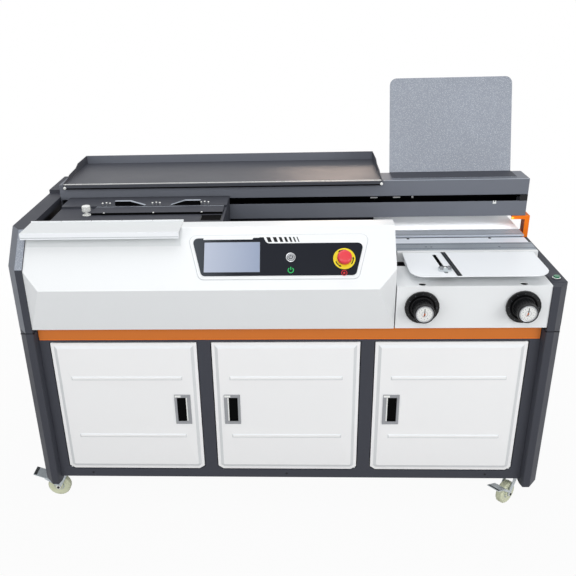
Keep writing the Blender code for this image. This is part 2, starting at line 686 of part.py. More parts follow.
def make_upper_sides():
    low_z = JOINT_Z + GAP
    slope_y = POST_FRONT_Y + (LEFT_TOP_Z - LEFT_KINK_Z) / math.tan(CASING_SLOPE)
    left = [(POST_FRONT_Y, low_z), (POST_FRONT_Y, LEFT_KINK_Z), (slope_y, LEFT_TOP_Z),
            (LEFT_STEP_Y, LEFT_TOP_Z), (LEFT_STEP_Y, LEFT_STEP_TOP_Z), (REAR_Y, LEFT_STEP_TOP_Z),
            (REAR_Y, low_z)]
    middle_z = (low_z + RIGHT_TOP_Z) / 2
    right = [(POST_FRONT_Y, low_z), (POST_FRONT_Y, middle_z), (POST_FRONT_Y, RIGHT_TOP_Z),
             (RIGHT_END_Y, RIGHT_TOP_Z), (RIGHT_END_Y, RIGHT_REAR_Z), (REAR_Y, RIGHT_REAR_Z),
             (REAR_Y, low_z)]
    pocket_x = (UPPER_INNER_X - CUT, HALF_WIDTH - WALL_SKIN)
    pocket_front_y = POST_FRONT_Y + POST_CHAMFER_Y + POCKET_FRONT
    pocket_low_z = low_z + WALL_BORDER
    start_hole = tube((START_X, START_Y, RIGHT_TOP_Z - START_STEM - CUT), START_STEM + CUT + CUT,
                      START_RADIUS + RUN_GAP, "Z")
    collar = tube((START_X, START_Y, RIGHT_TOP_Z - SINK), START_COLLAR_HEIGHT + SINK,
                  START_COLLAR_RADIUS, "Z")
    half_x = START_PLATE_X / 2
    half_y = START_PLATE_Y / 2
    plate = box((START_X - half_x, START_X + half_x), (START_Y - half_y, START_Y + half_y),
                (RIGHT_TOP_Z - SINK, RIGHT_TOP_Z + START_PLATE_HEIGHT))
    pocket_left = box((-pocket_x[1], -pocket_x[0]), (slope_y + POST_CHAMFER_Y, REAR_Y - WALL_BORDER),
                      (pocket_low_z, LEFT_TOP_Z - WALL_BORDER))
    fuse("side_upper_left", "frame_paint", [upper_wall(-1, left)], [pocket_left])
    pocket_right = box(pocket_x, (pocket_front_y, RIGHT_END_Y - WALL_BORDER),
                       (pocket_low_z, RIGHT_TOP_Z - WALL_BORDER))
    fuse("side_upper_right", "frame_paint", [upper_wall(1, right), plate, collar],
         [pocket_right, start_hole])


def door_outline(centre, margin):
    """Front view of a door, with cut lower corners, grown by a margin."""
    half = DOOR_WIDTH / 2
    points = [
        (-half + DOOR_CORNER_X, DOOR_BOTTOM_Z), (half - DOOR_CORNER_X, DOOR_BOTTOM_Z),
        (half, DOOR_BOTTOM_Z + DOOR_CORNER_Z), (half, DOOR_TOP_Z),
        (-half, DOOR_TOP_Z), (-half, DOOR_BOTTOM_Z + DOOR_CORNER_Z),
    ]
    grown = inset(points, -margin)
    return [(centre + x, z) for x, z in grown]


def hinge_side(centre):
    """-1 for the door hinged at its left, 1 for those hinged at their right."""
    return -1 if centre < 0 else 1


def pivot_x(centre):
    return centre + hinge_side(centre) * (DOOR_WIDTH / 2 - PIVOT_INSET)


def pull_x(centre):
    return centre - hinge_side(centre) * (DOOR_WIDTH / 2 - PULL_EDGE_OFFSET)


def make_front_frame():
    frame_back_y = FRAME_FRONT_Y + FRAME_DEPTH
    half = POST_INNER_X - GAP
    cutters = [box((-half - CUT, half + CUT), (-CUT, FRAME_FRONT_Y + TRIM_THICKNESS),
                   (TRIM_BOTTOM_Z, FRAME_TOP_Z + CUT))]
    pin_z = (DOOR_BOTTOM_Z - DOOR_GAP - PIVOT_LENGTH, DOOR_TOP_Z + DOOR_GAP + PIVOT_LENGTH)
    for centre in DOOR_CENTRES:
        cutters.append(prism(door_outline(centre, DOOR_GAP), -CUT, frame_back_y + CUT, "Y"))
        cutters.append(tube((pivot_x(centre), PIVOT_INSET, pin_z[0]), pin_z[1] - pin_z[0],
                            PIVOT_RADIUS + GAP, "Z", sides=SMALL_SIDES))
    body = box((-half, half), (FRAME_FRONT_Y, frame_back_y), (FRAME_BOTTOM_Z, FRAME_TOP_Z))
    fuse("front_frame", "frame_paint", [body], cutters)
    trim = box((-half + TRIM_END_INSET, half - TRIM_END_INSET),
               (FRAME_FRONT_Y - GAP, FRAME_FRONT_Y + TRIM_THICKNESS - GAP),
               (TRIM_BOTTOM_Z + GAP, FRAME_TOP_Z))
    fuse("orange_trim", "orange_paint", [trim])


def make_doors():
    for label, centre in zip(("left", "middle", "right"), DOOR_CENTRES):
        outline = door_outline(centre, 0)
        raised = inset(outline, DOOR_MARGIN)
        crown = inset(raised, DOOR_BEVEL)
        face_y = DOOR_RELIEF
        panel = loft([[to_axes("Y", u, v, y) for u, v in ring] for ring, y in
                      ((raised, face_y + SINK), (raised, face_y), (crown, 0))])
        slab = prism(outline, face_y, DOOR_THICKNESS, "Y")
        pieces = [slab, panel]
        side = hinge_side(centre)
        half = DOOR_WIDTH / 2
        for level in RIB_LEVELS:
            foot = rectangle((centre - half + RIB_INSET, centre + half - RIB_INSET),
                             (level - RIB_HEIGHT / 2, level + RIB_HEIGHT / 2))
            top = inset(foot, RIB_RELIEF)
            pieces.append(loft([[to_axes("Y", u, v, y) for u, v in ring] for ring, y in
                                ((foot, SINK), (foot, 0), (top, -RIB_RELIEF / 2))]))
        pivot = (pivot_x(centre), PIVOT_INSET, DOOR_BOTTOM_Z)
        reach = DOOR_GAP + PIVOT_LENGTH - GAP
        low_root = DOOR_CORNER_Z + SINK
        pins = ((DOOR_BOTTOM_Z - reach, reach + low_root), (DOOR_TOP_Z - SINK, reach + SINK))
        for start, length in pins:
            pieces.append(tube((pivot[0], pivot[1], start), length, PIVOT_RADIUS, "Z",
                               sides=SMALL_SIDES))
        x = pull_x(centre)
        cup_half_x = PULL_WIDTH / 2 - PULL_FLANGE_OVERLAP
        cup_half_z = PULL_HEIGHT / 2 - PULL_FLANGE_OVERLAP
        hole = box((x - cup_half_x - GAP, x + cup_half_x + GAP), (-CUT, DOOR_THICKNESS + CUT),
                   (PULL_LEVEL - cup_half_z - GAP, PULL_LEVEL + cup_half_z + GAP))
        hollow = prism(inset(outline, DOOR_BORDER), DOOR_RELIEF + DOOR_WALL, DOOR_THICKNESS + CUT, "Y")
        fuse("door_" + label, "white_paint", pieces, [hollow, hole], pivot)
        flange = box((x - PULL_WIDTH / 2, x + PULL_WIDTH / 2), (-GAP - PULL_FLANGE, -GAP),
                     (PULL_LEVEL - PULL_HEIGHT / 2, PULL_LEVEL + PULL_HEIGHT / 2))
        cup = box((x - cup_half_x, x + cup_half_x), (-GAP - SINK, PULL_CUP_DEPTH),
                  (PULL_LEVEL - cup_half_z, PULL_LEVEL + cup_half_z))
        slot_x = x + side * PULL_SLOT_SHIFT
        near = slot_x + side * PULL_SLOT_WIDTH / 2
        far = slot_x - side * PULL_SLOT_WIDTH / 2
        mouth_y = -PULL_FLANGE - CUT
        floor_y = PULL_CUP_DEPTH - PULL_WALL
        mouth = [(near, mouth_y), (near, floor_y), (far, floor_y), (far - side * PULL_FLANK, mouth_y)]
        slot = prism(mouth, PULL_LEVEL - PULL_SLOT_HEIGHT / 2, PULL_LEVEL + PULL_SLOT_HEIGHT / 2, "Z")
        fuse("door_pull_" + label, "chrome", [flange, cup], [slot])


def make_cabinet():
    inner = HALF_WIDTH - SIDE_THICKNESS - GAP
    front_y = FRAME_FRONT_Y + FRAME_DEPTH + GAP
    back_y = REAR_Y - BACK_THICKNESS
    floor_z = FRAME_BOTTOM_Z
    pieces = [box((-inner, inner), (front_y, back_y - GAP), (floor_z, floor_z + FLOOR_THICKNESS))]
    for x, y in caster_places().values():
        pieces.append(box((x - CASTER_PLATE_X / 2, x + CASTER_PLATE_X / 2),
                          (max(y - CASTER_PLATE_Y / 2, front_y), y + CASTER_PLATE_Y / 2),
                          (floor_z - CASTER_PLATE_THICKNESS, floor_z + SINK)))
        pieces.append(tube((x, y, floor_z - KINGPIN_LENGTH), KINGPIN_LENGTH + SINK, KINGPIN_RADIUS,
                           "Z", sides=SMALL_SIDES))
    fuse("cabinet_floor", "frame_paint", pieces)
    half_x = INLET_WIDTH / 2
    half_z = INLET_HEIGHT / 2
    body_x = half_x - INLET_FLANGE
    body_z = half_z - INLET_FLANGE
    socket_x = body_x - INLET_WALL
    socket_z = body_z - INLET_WALL
    inlet_hole = box((INLET_X - body_x - GAP, INLET_X + body_x + GAP), (back_y - CUT, REAR_Y + CUT),
                     (INLET_Z - body_z - GAP, INLET_Z + body_z + GAP))
    back_z = (floor_z, BED_TOP_Z - BED_THICKNESS - GAP)
    fuse("cabinet_back", "frame_paint", [box((-inner, inner), (back_y, REAR_Y), back_z)], [inlet_hole])
    fuse("machine_bed", "frame_paint",
         [box((-inner, inner), (front_y, REAR_Y), (BED_TOP_Z - BED_THICKNESS, BED_TOP_Z))])
    flange = box((INLET_X - half_x, INLET_X + half_x), (REAR_Y + GAP, REAR_Y + GAP + INLET_FLANGE),
                 (INLET_Z - half_z, INLET_Z + half_z))
    body = box((INLET_X - body_x, INLET_X + body_x), (REAR_Y - INLET_DEPTH, REAR_Y + GAP + SINK),
               (INLET_Z - body_z, INLET_Z + body_z))
    socket = box((INLET_X - socket_x, INLET_X + socket_x), (REAR_Y - INLET_SOCKET_DEPTH, REAR_Y + CUT),
                 (INLET_Z - socket_z, INLET_Z + socket_z))
    fuse("mains_inlet", "black_plastic", [flange, body], [socket])


def caster_places():
    """Swivel axis of each caster, by name."""
    return {
        "front_left": (-CASTER_X, CASTER_FRONT_Y), "front_right": (CASTER_X, CASTER_FRONT_Y),
        "rear_left": (-CASTER_X, CASTER_REAR_Y), "rear_right": (CASTER_X, CASTER_REAR_Y),
    }


def turned(profile, steps=ROUND_SIDES):
    """A ring made by turning a closed (radius, height) profile about the local Y axis."""
    bm = bmesh.new()
    ring = [bm.verts.new((radius, height, 0)) for radius, height in profile]
    edges = [bm.edges.new((a, b)) for a, b in zip(ring, ring[1:] + ring[:1])]
    bmesh.ops.spin(bm, geom=ring + edges, cent=(0, 0, 0), axis=(0, 1, 0), steps=steps,
                   angle=math.tau, use_merge=True)
    bmesh.ops.remove_doubles(bm, verts=bm.verts, dist=MERGE_DISTANCE)
    return bm


def moved(bm, matrix):
    bmesh.ops.transform(bm, matrix=matrix, verts=bm.verts)
    return from_bmesh(bm)


def make_casters():
    """Each caster is laid out trailing along +X from its swivel axis, then turned."""
    arm_y = WHEEL_WIDTH / 2 + FORK_ARM_GAP
    outer_y = arm_y + FORK_ARM_THICKNESS
    crown_top = FRAME_BOTTOM_Z - CASTER_PLATE_THICKNESS - GAP
    crown_low = crown_top - CROWN_THICKNESS
    for name, (x, y) in caster_places().items():
        place = Matrix.Translation((x, y, 0)) @ Matrix.Rotation(
            math.radians(CASTER_TURNS_DEG[name]), 4, "Z")
        crown = tube((0, 0, crown_low), CROWN_THICKNESS, CROWN_RADIUS, "Z")
        arms = []
        half = FORK_ARM_WIDTH / 2
        arm = [(-half, crown_low + SINK), (half + half, crown_low + SINK),
               (CASTER_TRAIL + half, WHEEL_RADIUS), (CASTER_TRAIL + half / 2, WHEEL_RADIUS - half),
               (CASTER_TRAIL - half / 2, WHEEL_RADIUS - half), (CASTER_TRAIL - half, WHEEL_RADIUS)]
        for side in (-1, 1):
            arms.append(prism(arm, side * arm_y, side * outer_y, "Y"))
        axle = tube((CASTER_TRAIL, -outer_y - SINK, WHEEL_RADIUS), 2 * (outer_y + SINK), AXLE_RADIUS,
                    "Y", sides=SMALL_SIDES)
        kingpin_hole = tube((0, 0, crown_low - CUT), CROWN_THICKNESS + 2 * CUT, KINGPIN_RADIUS + GAP,
                            "Z", sides=SMALL_SIDES)
        fork = fuse("caster_fork_" + name, "zinc", [crown] + arms + [axle], [kingpin_hole])
        fork.data.transform(place)
        fork.data.transform(Matrix.Translation((-x, -y, 0)))
        fork.location = (x, y, 0)
        half_width = WHEEL_WIDTH / 2
        hub_y = half_width + HUB_RELIEF / 2
        profile = [(WHEEL_BORE_RADIUS, -hub_y), (HUB_RADIUS, -hub_y),
                   (HUB_RADIUS, -half_width + HUB_RELIEF), (WHEEL_RADIUS - WHEEL_EDGE, -half_width),
                   (WHEEL_RADIUS, -half_width + WHEEL_EDGE), (WHEEL_RADIUS, half_width - WHEEL_EDGE),
                   (WHEEL_RADIUS - WHEEL_EDGE, half_width), (HUB_RADIUS, half_width - HUB_RELIEF),
                   (HUB_RADIUS, hub_y), (WHEEL_BORE_RADIUS, hub_y)]
        centre = place @ Vector((CASTER_TRAIL, 0, WHEEL_RADIUS))
        upright = moved(turned(profile), Matrix.Rotation(math.radians(CASTER_TURNS_DEG[name]), 4, "Z"))
        wheel = fuse("caster_wheel_" + name, "cream_nylon", [upright])
        wheel.location = centre
        if name.startswith("front"):
            make_pedal(name, place, outer_y)


def make_pedal(name, place, fork_outer_y):
    """The brake pedal: a plate that rises to its tip, with two ears beside the fork."""
    low = PEDAL_THICKNESS
    plate = [(PEDAL_ROOT, PEDAL_ROOT_Z), (PEDAL_REACH, PEDAL_TIP_Z - low), (PEDAL_REACH, PEDAL_TIP_Z),
             (PEDAL_ROOT, PEDAL_ROOT_Z + low)]
    inner_y = fork_outer_y + RUN_GAP
    ear_y = inner_y + PEDAL_THICKNESS
    ear = [(CASTER_TRAIL - AXLE_RADIUS, WHEEL_RADIUS + AXLE_RADIUS * 2),
           (CASTER_TRAIL + AXLE_RADIUS, WHEEL_RADIUS + AXLE_RADIUS * 2),
           (PEDAL_ROOT + CUT, PEDAL_ROOT_Z), (PEDAL_ROOT + CUT, PEDAL_ROOT_Z + low),
           (PEDAL_ROOT, PEDAL_ROOT_Z + low)]
    pieces = [prism(plate, -ear_y, ear_y, "Y")]
    for side in (-1, 1):
        pieces.append(prism(ear, side * inner_y, side * ear_y, "Y"))
    pedal = fuse("brake_pedal_" + name, "zinc", pieces)
    pivot = place @ Vector((CASTER_TRAIL, 0, WHEEL_RADIUS))
    pedal.data.transform(place)
    pedal.data.transform(Matrix.Translation(-pivot))
    pedal.location = pivot


def on_slope(x, up, out):
    """A point of the casing's slope: across, up the slope from the fold, and out of it."""
    return (x, CASING_FOLD_Y + up * math.cos(CASING_SLOPE) - out * math.sin(CASING_SLOPE),
            CASING_FOLD_Z + up * math.sin(CASING_SLOPE) + out * math.cos(CASING_SLOPE))


SLOPE_TURN = Matrix.Rotation(CASING_SLOPE, 4, "X")


def slope_prism(outline, low, high):
    """A flat outline on the slope, pushed out from low to high."""
    solid = prism(outline, low, high, "Z")
    solid.data.transform(Matrix.Translation(on_slope(0, 0, 0)) @ SLOPE_TURN)
    return solid


def slope_tube(x, up, low, high, radius, end_radius=None, sides=ROUND_SIDES):
    return tube(on_slope(x, up, low), high - low, radius, SLOPE_TURN, end_radius, sides)


def slope_stack(x, up, levels, sides=ROUND_SIDES):
    """A round solid on the slope, through (height out of the slope, radius) pairs."""
    turns = [math.tau * index / sides for index in range(sides)]
    return loft([[on_slope(x + radius * math.cos(turn), up + radius * math.sin(turn), out)
                  for turn in turns] for out, radius in levels])


def panel_outline():
    """The dark film: slanted ends, and a taller left part over the screen."""
    return [
        (PANEL_LEFT_LOW_X, PANEL_LOW_UP), (PANEL_RIGHT_LOW_X, PANEL_LOW_UP),
        (PANEL_RIGHT_TOP_X, PANEL_RIGHT_UP), (PANEL_STEP_X + PANEL_STEP_RUN, PANEL_RIGHT_UP),
        (PANEL_STEP_X, PANEL_LEFT_UP), (PANEL_LEFT_TOP_X, PANEL_LEFT_UP),
    ]


def surround_hull():
    """The raised surround's core: the same ends, with one straight edge along the top."""
    low_left, low_right, high_right, *_, high_left = panel_outline()
    run = (high_right[0] - low_right[0]) / (high_right[1] - low_right[1])
    corner = (high_right[0] + run * (high_left[1] - high_right[1]), high_left[1])
    return [low_left, low_right, corner, high_left]


def casing_solid(shrink):
    """The casing's outer form, or the hollow inside it: side profile met by its plan."""
    top_y = CASING_FOLD_Y + (CASING_TOP_Z - CASING_FOLD_Z) / math.tan(CASING_SLOPE)
    profile = [(CASING_FRONT_Y, FRAME_TOP_Z + GAP * 2), (CASING_BACK_Y, FRAME_TOP_Z + GAP * 2),
               (CASING_BACK_Y, CASING_TOP_Z), (top_y, CASING_TOP_Z), (CASING_FOLD_Y, CASING_FOLD_Z)]
    left_x = -UPPER_INNER_X + GAP
    plan = [(left_x, CASING_BACK_Y), (left_x, CASING_FRONT_Y), (left_x + CASING_MITRE, CASING_FOLD_Y),
            (CASING_RIGHT_X - CASING_MITRE, CASING_FOLD_Y), (CASING_RIGHT_X, CASING_FRONT_Y),
            (CASING_RIGHT_X, CASING_BACK_Y)]
    if shrink:
        profile = inset(profile, shrink)
        plan = inset(plan, shrink)
    along = prism(profile, left_x - CUT, CASING_RIGHT_X + CUT, "X")
    upright = prism(plan, FRAME_TOP_Z - CUT, CASING_TOP_Z + CUT, "Z")
    modifier = along.modifiers.new("plan", "BOOLEAN")
    modifier.operation = "INTERSECT"
    modifier.solver = "EXACT"
    modifier.object = upright
    bpy.context.view_layer.update()
    graph = bpy.context.evaluated_depsgraph_get()
    mesh = bpy.data.meshes.new_from_object(along.evaluated_get(graph))
    bpy.data.objects.remove(along, do_unlink=True)
    bpy.data.objects.remove(upright, do_unlink=True)
    return temporary(mesh)


def mouth_spans():
    """The filling mouth in the casing's top, under the lid."""
    top_y = CASING_FOLD_Y + (CASING_TOP_Z - CASING_FOLD_Z) / math.tan(CASING_SLOPE)
    return ((-UPPER_INNER_X + MOUTH_MARGIN_X, LID_RIGHT_X - MOUTH_MARGIN_X),
            (top_y, CASING_BACK_Y - MOUTH_MARGIN_Y))


def make_casing():
    inner_left = -UPPER_INNER_X + GAP + CASING_WALL
    inner_right = CASING_RIGHT_X - CASING_WALL
    hollow = casing_solid(CASING_WALL)
    underside = box((inner_left, inner_right), (FRAME_FRONT_Y + FRAME_DEPTH + CUT, CASING_BACK_Y + CUT),
                    (FRAME_TOP_Z - CUT, CASING_FOLD_Z))
    back = box((inner_left, inner_right), (CASING_BACK_Y - CASING_WALL - CUT, CASING_BACK_Y + CUT),
               (FRAME_TOP_Z - CUT, CASING_TOP_Z - CASING_FLANGE))
    mouth_x, mouth_y = mouth_spans()
    mouth = box(mouth_x, mouth_y, (CASING_TOP_Z - CASING_WALL - CUT, CASING_TOP_Z + CUT))
    surround_outline = rounded(inset(surround_hull(), -SURROUND_WIDTH), PANEL_CORNER + SURROUND_WIDTH / 2)
    surround = slope_prism(surround_outline, -SINK, SURROUND_HEIGHT)
    holes = [
        slope_tube(POWER_X, POWER_UP, -POWER_STEM - CUT, CUT, POWER_RADIUS + RUN_GAP),
        slope_tube(ESTOP_X, ESTOP_UP, -ESTOP_STEM - CUT, CUT, ESTOP_STEM_RADIUS + RUN_GAP),
    ]
    fuse("front_casing", "white_paint", [casing_solid(0), surround],
         [hollow, underside, back, mouth] + holes)


def make_lid():
    low_z = CASING_TOP_Z + GAP * 2
    top_z = low_z + LID_THICKNESS
    hinge_y = CASING_BACK_Y + LID_BARREL_RADIUS
    plate = box((LID_LEFT_X, LID_RIGHT_X), (LID_FRONT_Y, hinge_y), (low_z, top_z))
    lip = box((LID_LEFT_X, LID_RIGHT_X), (LID_FRONT_Y, LID_FRONT_Y + LID_THICKNESS),
              (top_z - LID_LIP, top_z))
    pivot = (LID_LEFT_X, hinge_y, low_z + LID_BARREL_RADIUS)
    barrel = tube(pivot, LID_RIGHT_X - LID_LEFT_X, LID_BARREL_RADIUS, "X", sides=SMALL_SIDES)
    fuse("front_lid", "white_paint", [plate, lip, barrel], pivot=pivot)


def make_panel():
    low = SURROUND_HEIGHT + GAP
    film = slope_prism(rounded(panel_outline(), PANEL_CORNER), low, low + PANEL_THICKNESS)
    window = slope_prism(rectangle((SCREEN_LEFT_X - GAP, SCREEN_RIGHT_X + GAP),
                                   (SCREEN_LOW_UP - GAP, SCREEN_HIGH_UP + GAP)), low - CUT, low + CUT)
    film_top = low + PANEL_THICKNESS
    ring = slope_tube(POWER_X, POWER_UP, film_top - SINK, film_top + POWER_RING_HEIGHT, POWER_RING_RADIUS)
    disc = slope_tube(ESTOP_X, ESTOP_UP, film_top - SINK, film_top + ESTOP_RING_HEIGHT, ESTOP_RING_RADIUS)
    holes = [
        slope_tube(POWER_X, POWER_UP, low - CUT, low + CUT, POWER_RADIUS + RUN_GAP),
        slope_tube(ESTOP_X, ESTOP_UP, low - CUT, low + CUT, ESTOP_STEM_RADIUS + RUN_GAP),
    ]
    fuse("control_panel", "panel_film", [film, ring, disc], [window] + holes)
    screen = rectangle((SCREEN_LEFT_X, SCREEN_RIGHT_X), (SCREEN_LOW_UP, SCREEN_HIGH_UP))
    fuse("touch_screen", "screen_glass", [slope_prism(screen, low, low + PANEL_THICKNESS)])
    top = film_top + POWER_PROUD
    fuse("power_button", "chrome", [slope_tube(POWER_X, POWER_UP, -POWER_STEM, top, POWER_RADIUS)],
         pivot=on_slope(POWER_X, POWER_UP, film_top))
    cap_low = film_top + ESTOP_CAP_BASE
    cap_high = film_top + ESTOP_CAP_TOP
    shoulder = cap_low + (cap_high - cap_low) * ESTOP_CAP_CROWN_SHARE
    crown_radius = ESTOP_CAP_RADIUS * ESTOP_CAP_CROWN_SHARE
    levels = [(-ESTOP_STEM, ESTOP_STEM_RADIUS), (cap_low, ESTOP_STEM_RADIUS), (cap_low, ESTOP_CAP_RADIUS),
              (shoulder, ESTOP_CAP_RADIUS), (cap_high, crown_radius)]
    fuse("estop_button", "red_plastic", [slope_stack(ESTOP_X, ESTOP_UP, levels)],
         pivot=on_slope(ESTOP_X, ESTOP_UP, film_top))


def make_wing():
    right_x = UPPER_INNER_X - GAP
    low_z = FRAME_TOP_Z + GAP * 2
    outer = box((WING_LEFT_X, right_x), (WING_FRONT_Y, WING_BACK_Y), (low_z, WING_TOP_Z))
    lip = box((LIP_LEFT_X, LIP_RIGHT_X), (WING_BACK_Y - LIP_DEPTH, WING_BACK_Y),
              (WING_TOP_Z - WING_WALL / 2, LIP_TOP_Z))
    inner_x = (WING_LEFT_X + WING_WALL, right_x - WING_WALL)
    inner_top_z = WING_TOP_Z - WING_WALL
    hollow = box(inner_x, (WING_FRONT_Y + WING_WALL, WING_BACK_Y + CUT), (low_z + WING_WALL, inner_top_z))
    underside = box(inner_x, (FRAME_FRONT_Y + FRAME_DEPTH + CUT, WING_BACK_Y + CUT),
                    (low_z - CUT, inner_top_z))
    notch = box((WING_LEFT_X - CUT, WING_LEFT_X + WING_NOTCH_X),
                (WING_BACK_Y - LIP_DEPTH - WING_NOTCH_Y, WING_BACK_Y - LIP_DEPTH),
                (WING_TOP_Z - WING_WALL - CUT, WING_TOP_Z + CUT))
    cutters = [hollow, underside, notch]
    for x in (KNOB_LEFT_X, KNOB_RIGHT_X):
        cutters.append(tube((x, ACCESS_HOLE_Y, WING_TOP_Z - CUT), 2 * CUT, ACCESS_HOLE_RADIUS, "Z"))
        cutters.append(tube((x, WING_FRONT_Y - CUT, KNOB_Z), 2 * CUT, KNOB_SHAFT_RADIUS + GAP, "Y",
                            sides=SMALL_SIDES))
    fuse("wing_cover", "white_paint", [outer, lip], cutters)


def make_knobs():
    for label, x in (("left", KNOB_LEFT_X), ("right", KNOB_RIGHT_X)):
        face_y = WING_FRONT_Y - GAP
        base_front_y = face_y - KNOB_BASE_THICKNESS
        base = tube((x, face_y, KNOB_Z), -KNOB_BASE_THICKNESS, KNOB_BASE_RADIUS, "Y")
        bore = tube((x, base_front_y - CUT, KNOB_Z), KNOB_BASE_THICKNESS + 2 * CUT,
                    KNOB_SHAFT_RADIUS + GAP, "Y", sides=SMALL_SIDES)
        fuse("knob_base_" + label, "black_plastic", [base], [bore])
        grip_y = base_front_y - GAP
        grip = tube((x, grip_y - KNOB_LENGTH, KNOB_Z), KNOB_LENGTH, KNOB_CAP_RADIUS, "Y", KNOB_ROOT_RADIUS)
        shaft = tube((x, grip_y - SINK, KNOB_Z), KNOB_SHAFT_LENGTH, KNOB_SHAFT_RADIUS, "Y",
                     sides=SMALL_SIDES)
        fuse("knob_" + label, "black_plastic", [grip, shaft], pivot=(x, grip_y, KNOB_Z))


def make_start_button():
    pivot = (START_X, START_Y, RIGHT_TOP_Z)
    stem = tube((START_X, START_Y, RIGHT_TOP_Z - START_STEM), START_STEM + START_PROUD, START_RADIUS, "Z")
    fuse("start_button", "green_plastic", [stem], pivot=pivot)


def skewed(x):
    """Turn of the table's slots and strip about the point where they cross mid-depth."""
    middle_y = (TABLE_FRONT_Y + TABLE_BACK_Y) / 2
    return (Matrix.Translation((x, middle_y, 0)) @ Matrix.Rotation(math.radians(SLOT_SKEW_DEG), 4, "Z")
            @ Matrix.Translation((-x, -middle_y, 0)))


def turned_box(matrix, *spans):
    solid = box(*spans)
    solid.data.transform(matrix)
    return solid


def make_table():
    low_z = TABLE_TOP_Z - TABLE_THICKNESS
    outline = [
        (TABLE_LEFT_X + TABLE_LEFT_CORNER_X, TABLE_FRONT_Y),
        (TABLE_RIGHT_X - TABLE_RIGHT_CORNER_X, TABLE_FRONT_Y),
        *corner_arc(TABLE_RIGHT_X - TABLE_RIGHT_CORNER_X, TABLE_FRONT_Y + TABLE_CORNER_Y,
                    TABLE_RIGHT_CORNER_X, -TABLE_CORNER_Y, False),
        (TABLE_RIGHT_X, TABLE_FRONT_Y + TABLE_CORNER_Y), (TABLE_RIGHT_X, TABLE_BACK_Y),
        (TABLE_LEFT_X, TABLE_BACK_Y), (TABLE_LEFT_X, TABLE_FRONT_Y + TABLE_CORNER_Y),
        *corner_arc(TABLE_LEFT_X + TABLE_LEFT_CORNER_X, TABLE_FRONT_Y + TABLE_CORNER_Y,
                    -TABLE_LEFT_CORNER_X, -TABLE_CORNER_Y, True),
    ]
    pieces = [prism(outline, low_z, TABLE_TOP_Z, "Z")]
    for x in RUNNER_XS:
        pieces.append(box((x, x + RUNNER_THICKNESS), (RUNNER_FRONT_Y, RUNNER_BACK_Y),
                          (WING_TOP_Z + GAP, low_z + SINK)))
    slot = turned_box(skewed(SLOT_X), (SLOT_X - SLOT_WIDTH / 2, SLOT_X + SLOT_WIDTH / 2),
                      (SLOT_FRONT_Y, SLOT_BACK_Y), (low_z - CUT, TABLE_TOP_Z + CUT))
    fuse("cover_table", "white_paint", pieces, [slot])
    run_in = STRIP_WIDTH * math.tan(math.radians(SLOT_SKEW_DEG))
    strip = turned_box(skewed(STRIP_X), (STRIP_X - STRIP_WIDTH / 2, STRIP_X + STRIP_WIDTH / 2),
                       (TABLE_FRONT_Y + run_in, TABLE_BACK_Y - run_in),
                       (TABLE_TOP_Z + GAP, TABLE_TOP_Z + GAP + STRIP_HEIGHT))
    fuse("guide_strip", "black_plastic", [strip])
    stop_z = TABLE_TOP_Z + GAP
    half = STOP_LENGTH / 2
    clip_right = STRIP_X - STRIP_WIDTH
    turn = skewed(SLOT_X)
    clip = turned_box(turn, (clip_right - STOP_LENGTH, clip_right),
                      (STOP_Y - STOP_DEPTH / 2, STOP_Y + STOP_DEPTH / 2), (stop_z, stop_z + STOP_HEIGHT))
    foot = turned_box(turn, (SLOT_X - SLOT_WIDTH / 2 + RUN_GAP, SLOT_X + SLOT_WIDTH / 2 - RUN_GAP),
                      (STOP_Y - half / 2, STOP_Y + half / 2), (low_z - GAP, stop_z + SINK))
    fuse("side_stop", "zinc", [clip, foot], pivot=(SLOT_X, STOP_Y, TABLE_TOP_Z))


def corner_arc(x, y, reach_x, reach_y, start_at_side, steps=6):
    """Points strictly between the two ends of a quarter ellipse about (x, y)."""
    angles = [math.pi / 2 * step / steps for step in range(1, steps)]
    if start_at_side:
        angles.reverse()
    return [(x + reach_x * math.sin(angle), y + reach_y * math.cos(angle)) for angle in angles]


def make_beam():
    wall = BEAM_WALL
    outline = [
        (BEAM_FRONT_Y, BEAM_LOW_Z), (BEAM_BACK_Y, BEAM_LOW_Z), (BEAM_BACK_Y, BEAM_TOP_Z),
        (BEAM_FRONT_Y, BEAM_TOP_Z), (BEAM_FRONT_Y, SLOT_HIGH_Z), (BEAM_FRONT_Y + wall, SLOT_HIGH_Z),
        (BEAM_FRONT_Y + wall, BEAM_TOP_Z - wall), (BEAM_BACK_Y - wall, BEAM_TOP_Z - wall),
        (BEAM_BACK_Y - wall, BEAM_LOW_Z + wall), (BEAM_FRONT_Y + wall, BEAM_LOW_Z + wall),
        (BEAM_FRONT_Y + wall, SLOT_LOW_Z), (BEAM_FRONT_Y, SLOT_LOW_Z),
    ]
    pieces = [prism(outline, BEAM_LEFT_X, BEAM_RIGHT_X, "X")]
    for start in (BEAM_LEFT_X, BEAM_RIGHT_X - wall):
        pieces.append(box((start, start + wall), (BEAM_FRONT_Y, BEAM_BACK_Y), (BEAM_LOW_Z, BEAM_TOP_Z)))
    fuse("beam_cover", "beam_paint", pieces)
    half = RAIL_SIZE / 2
    middle_z = (SLOT_LOW_Z + SLOT_HIGH_Z) / 2
    rail = box((BEAM_LEFT_X + wall + GAP, BEAM_RIGHT_X - wall - GAP), (RAIL_Y - half, RAIL_Y + half),
               (middle_z - half, middle_z + half))
    fuse("guide_rail", "ground_steel", [rail])


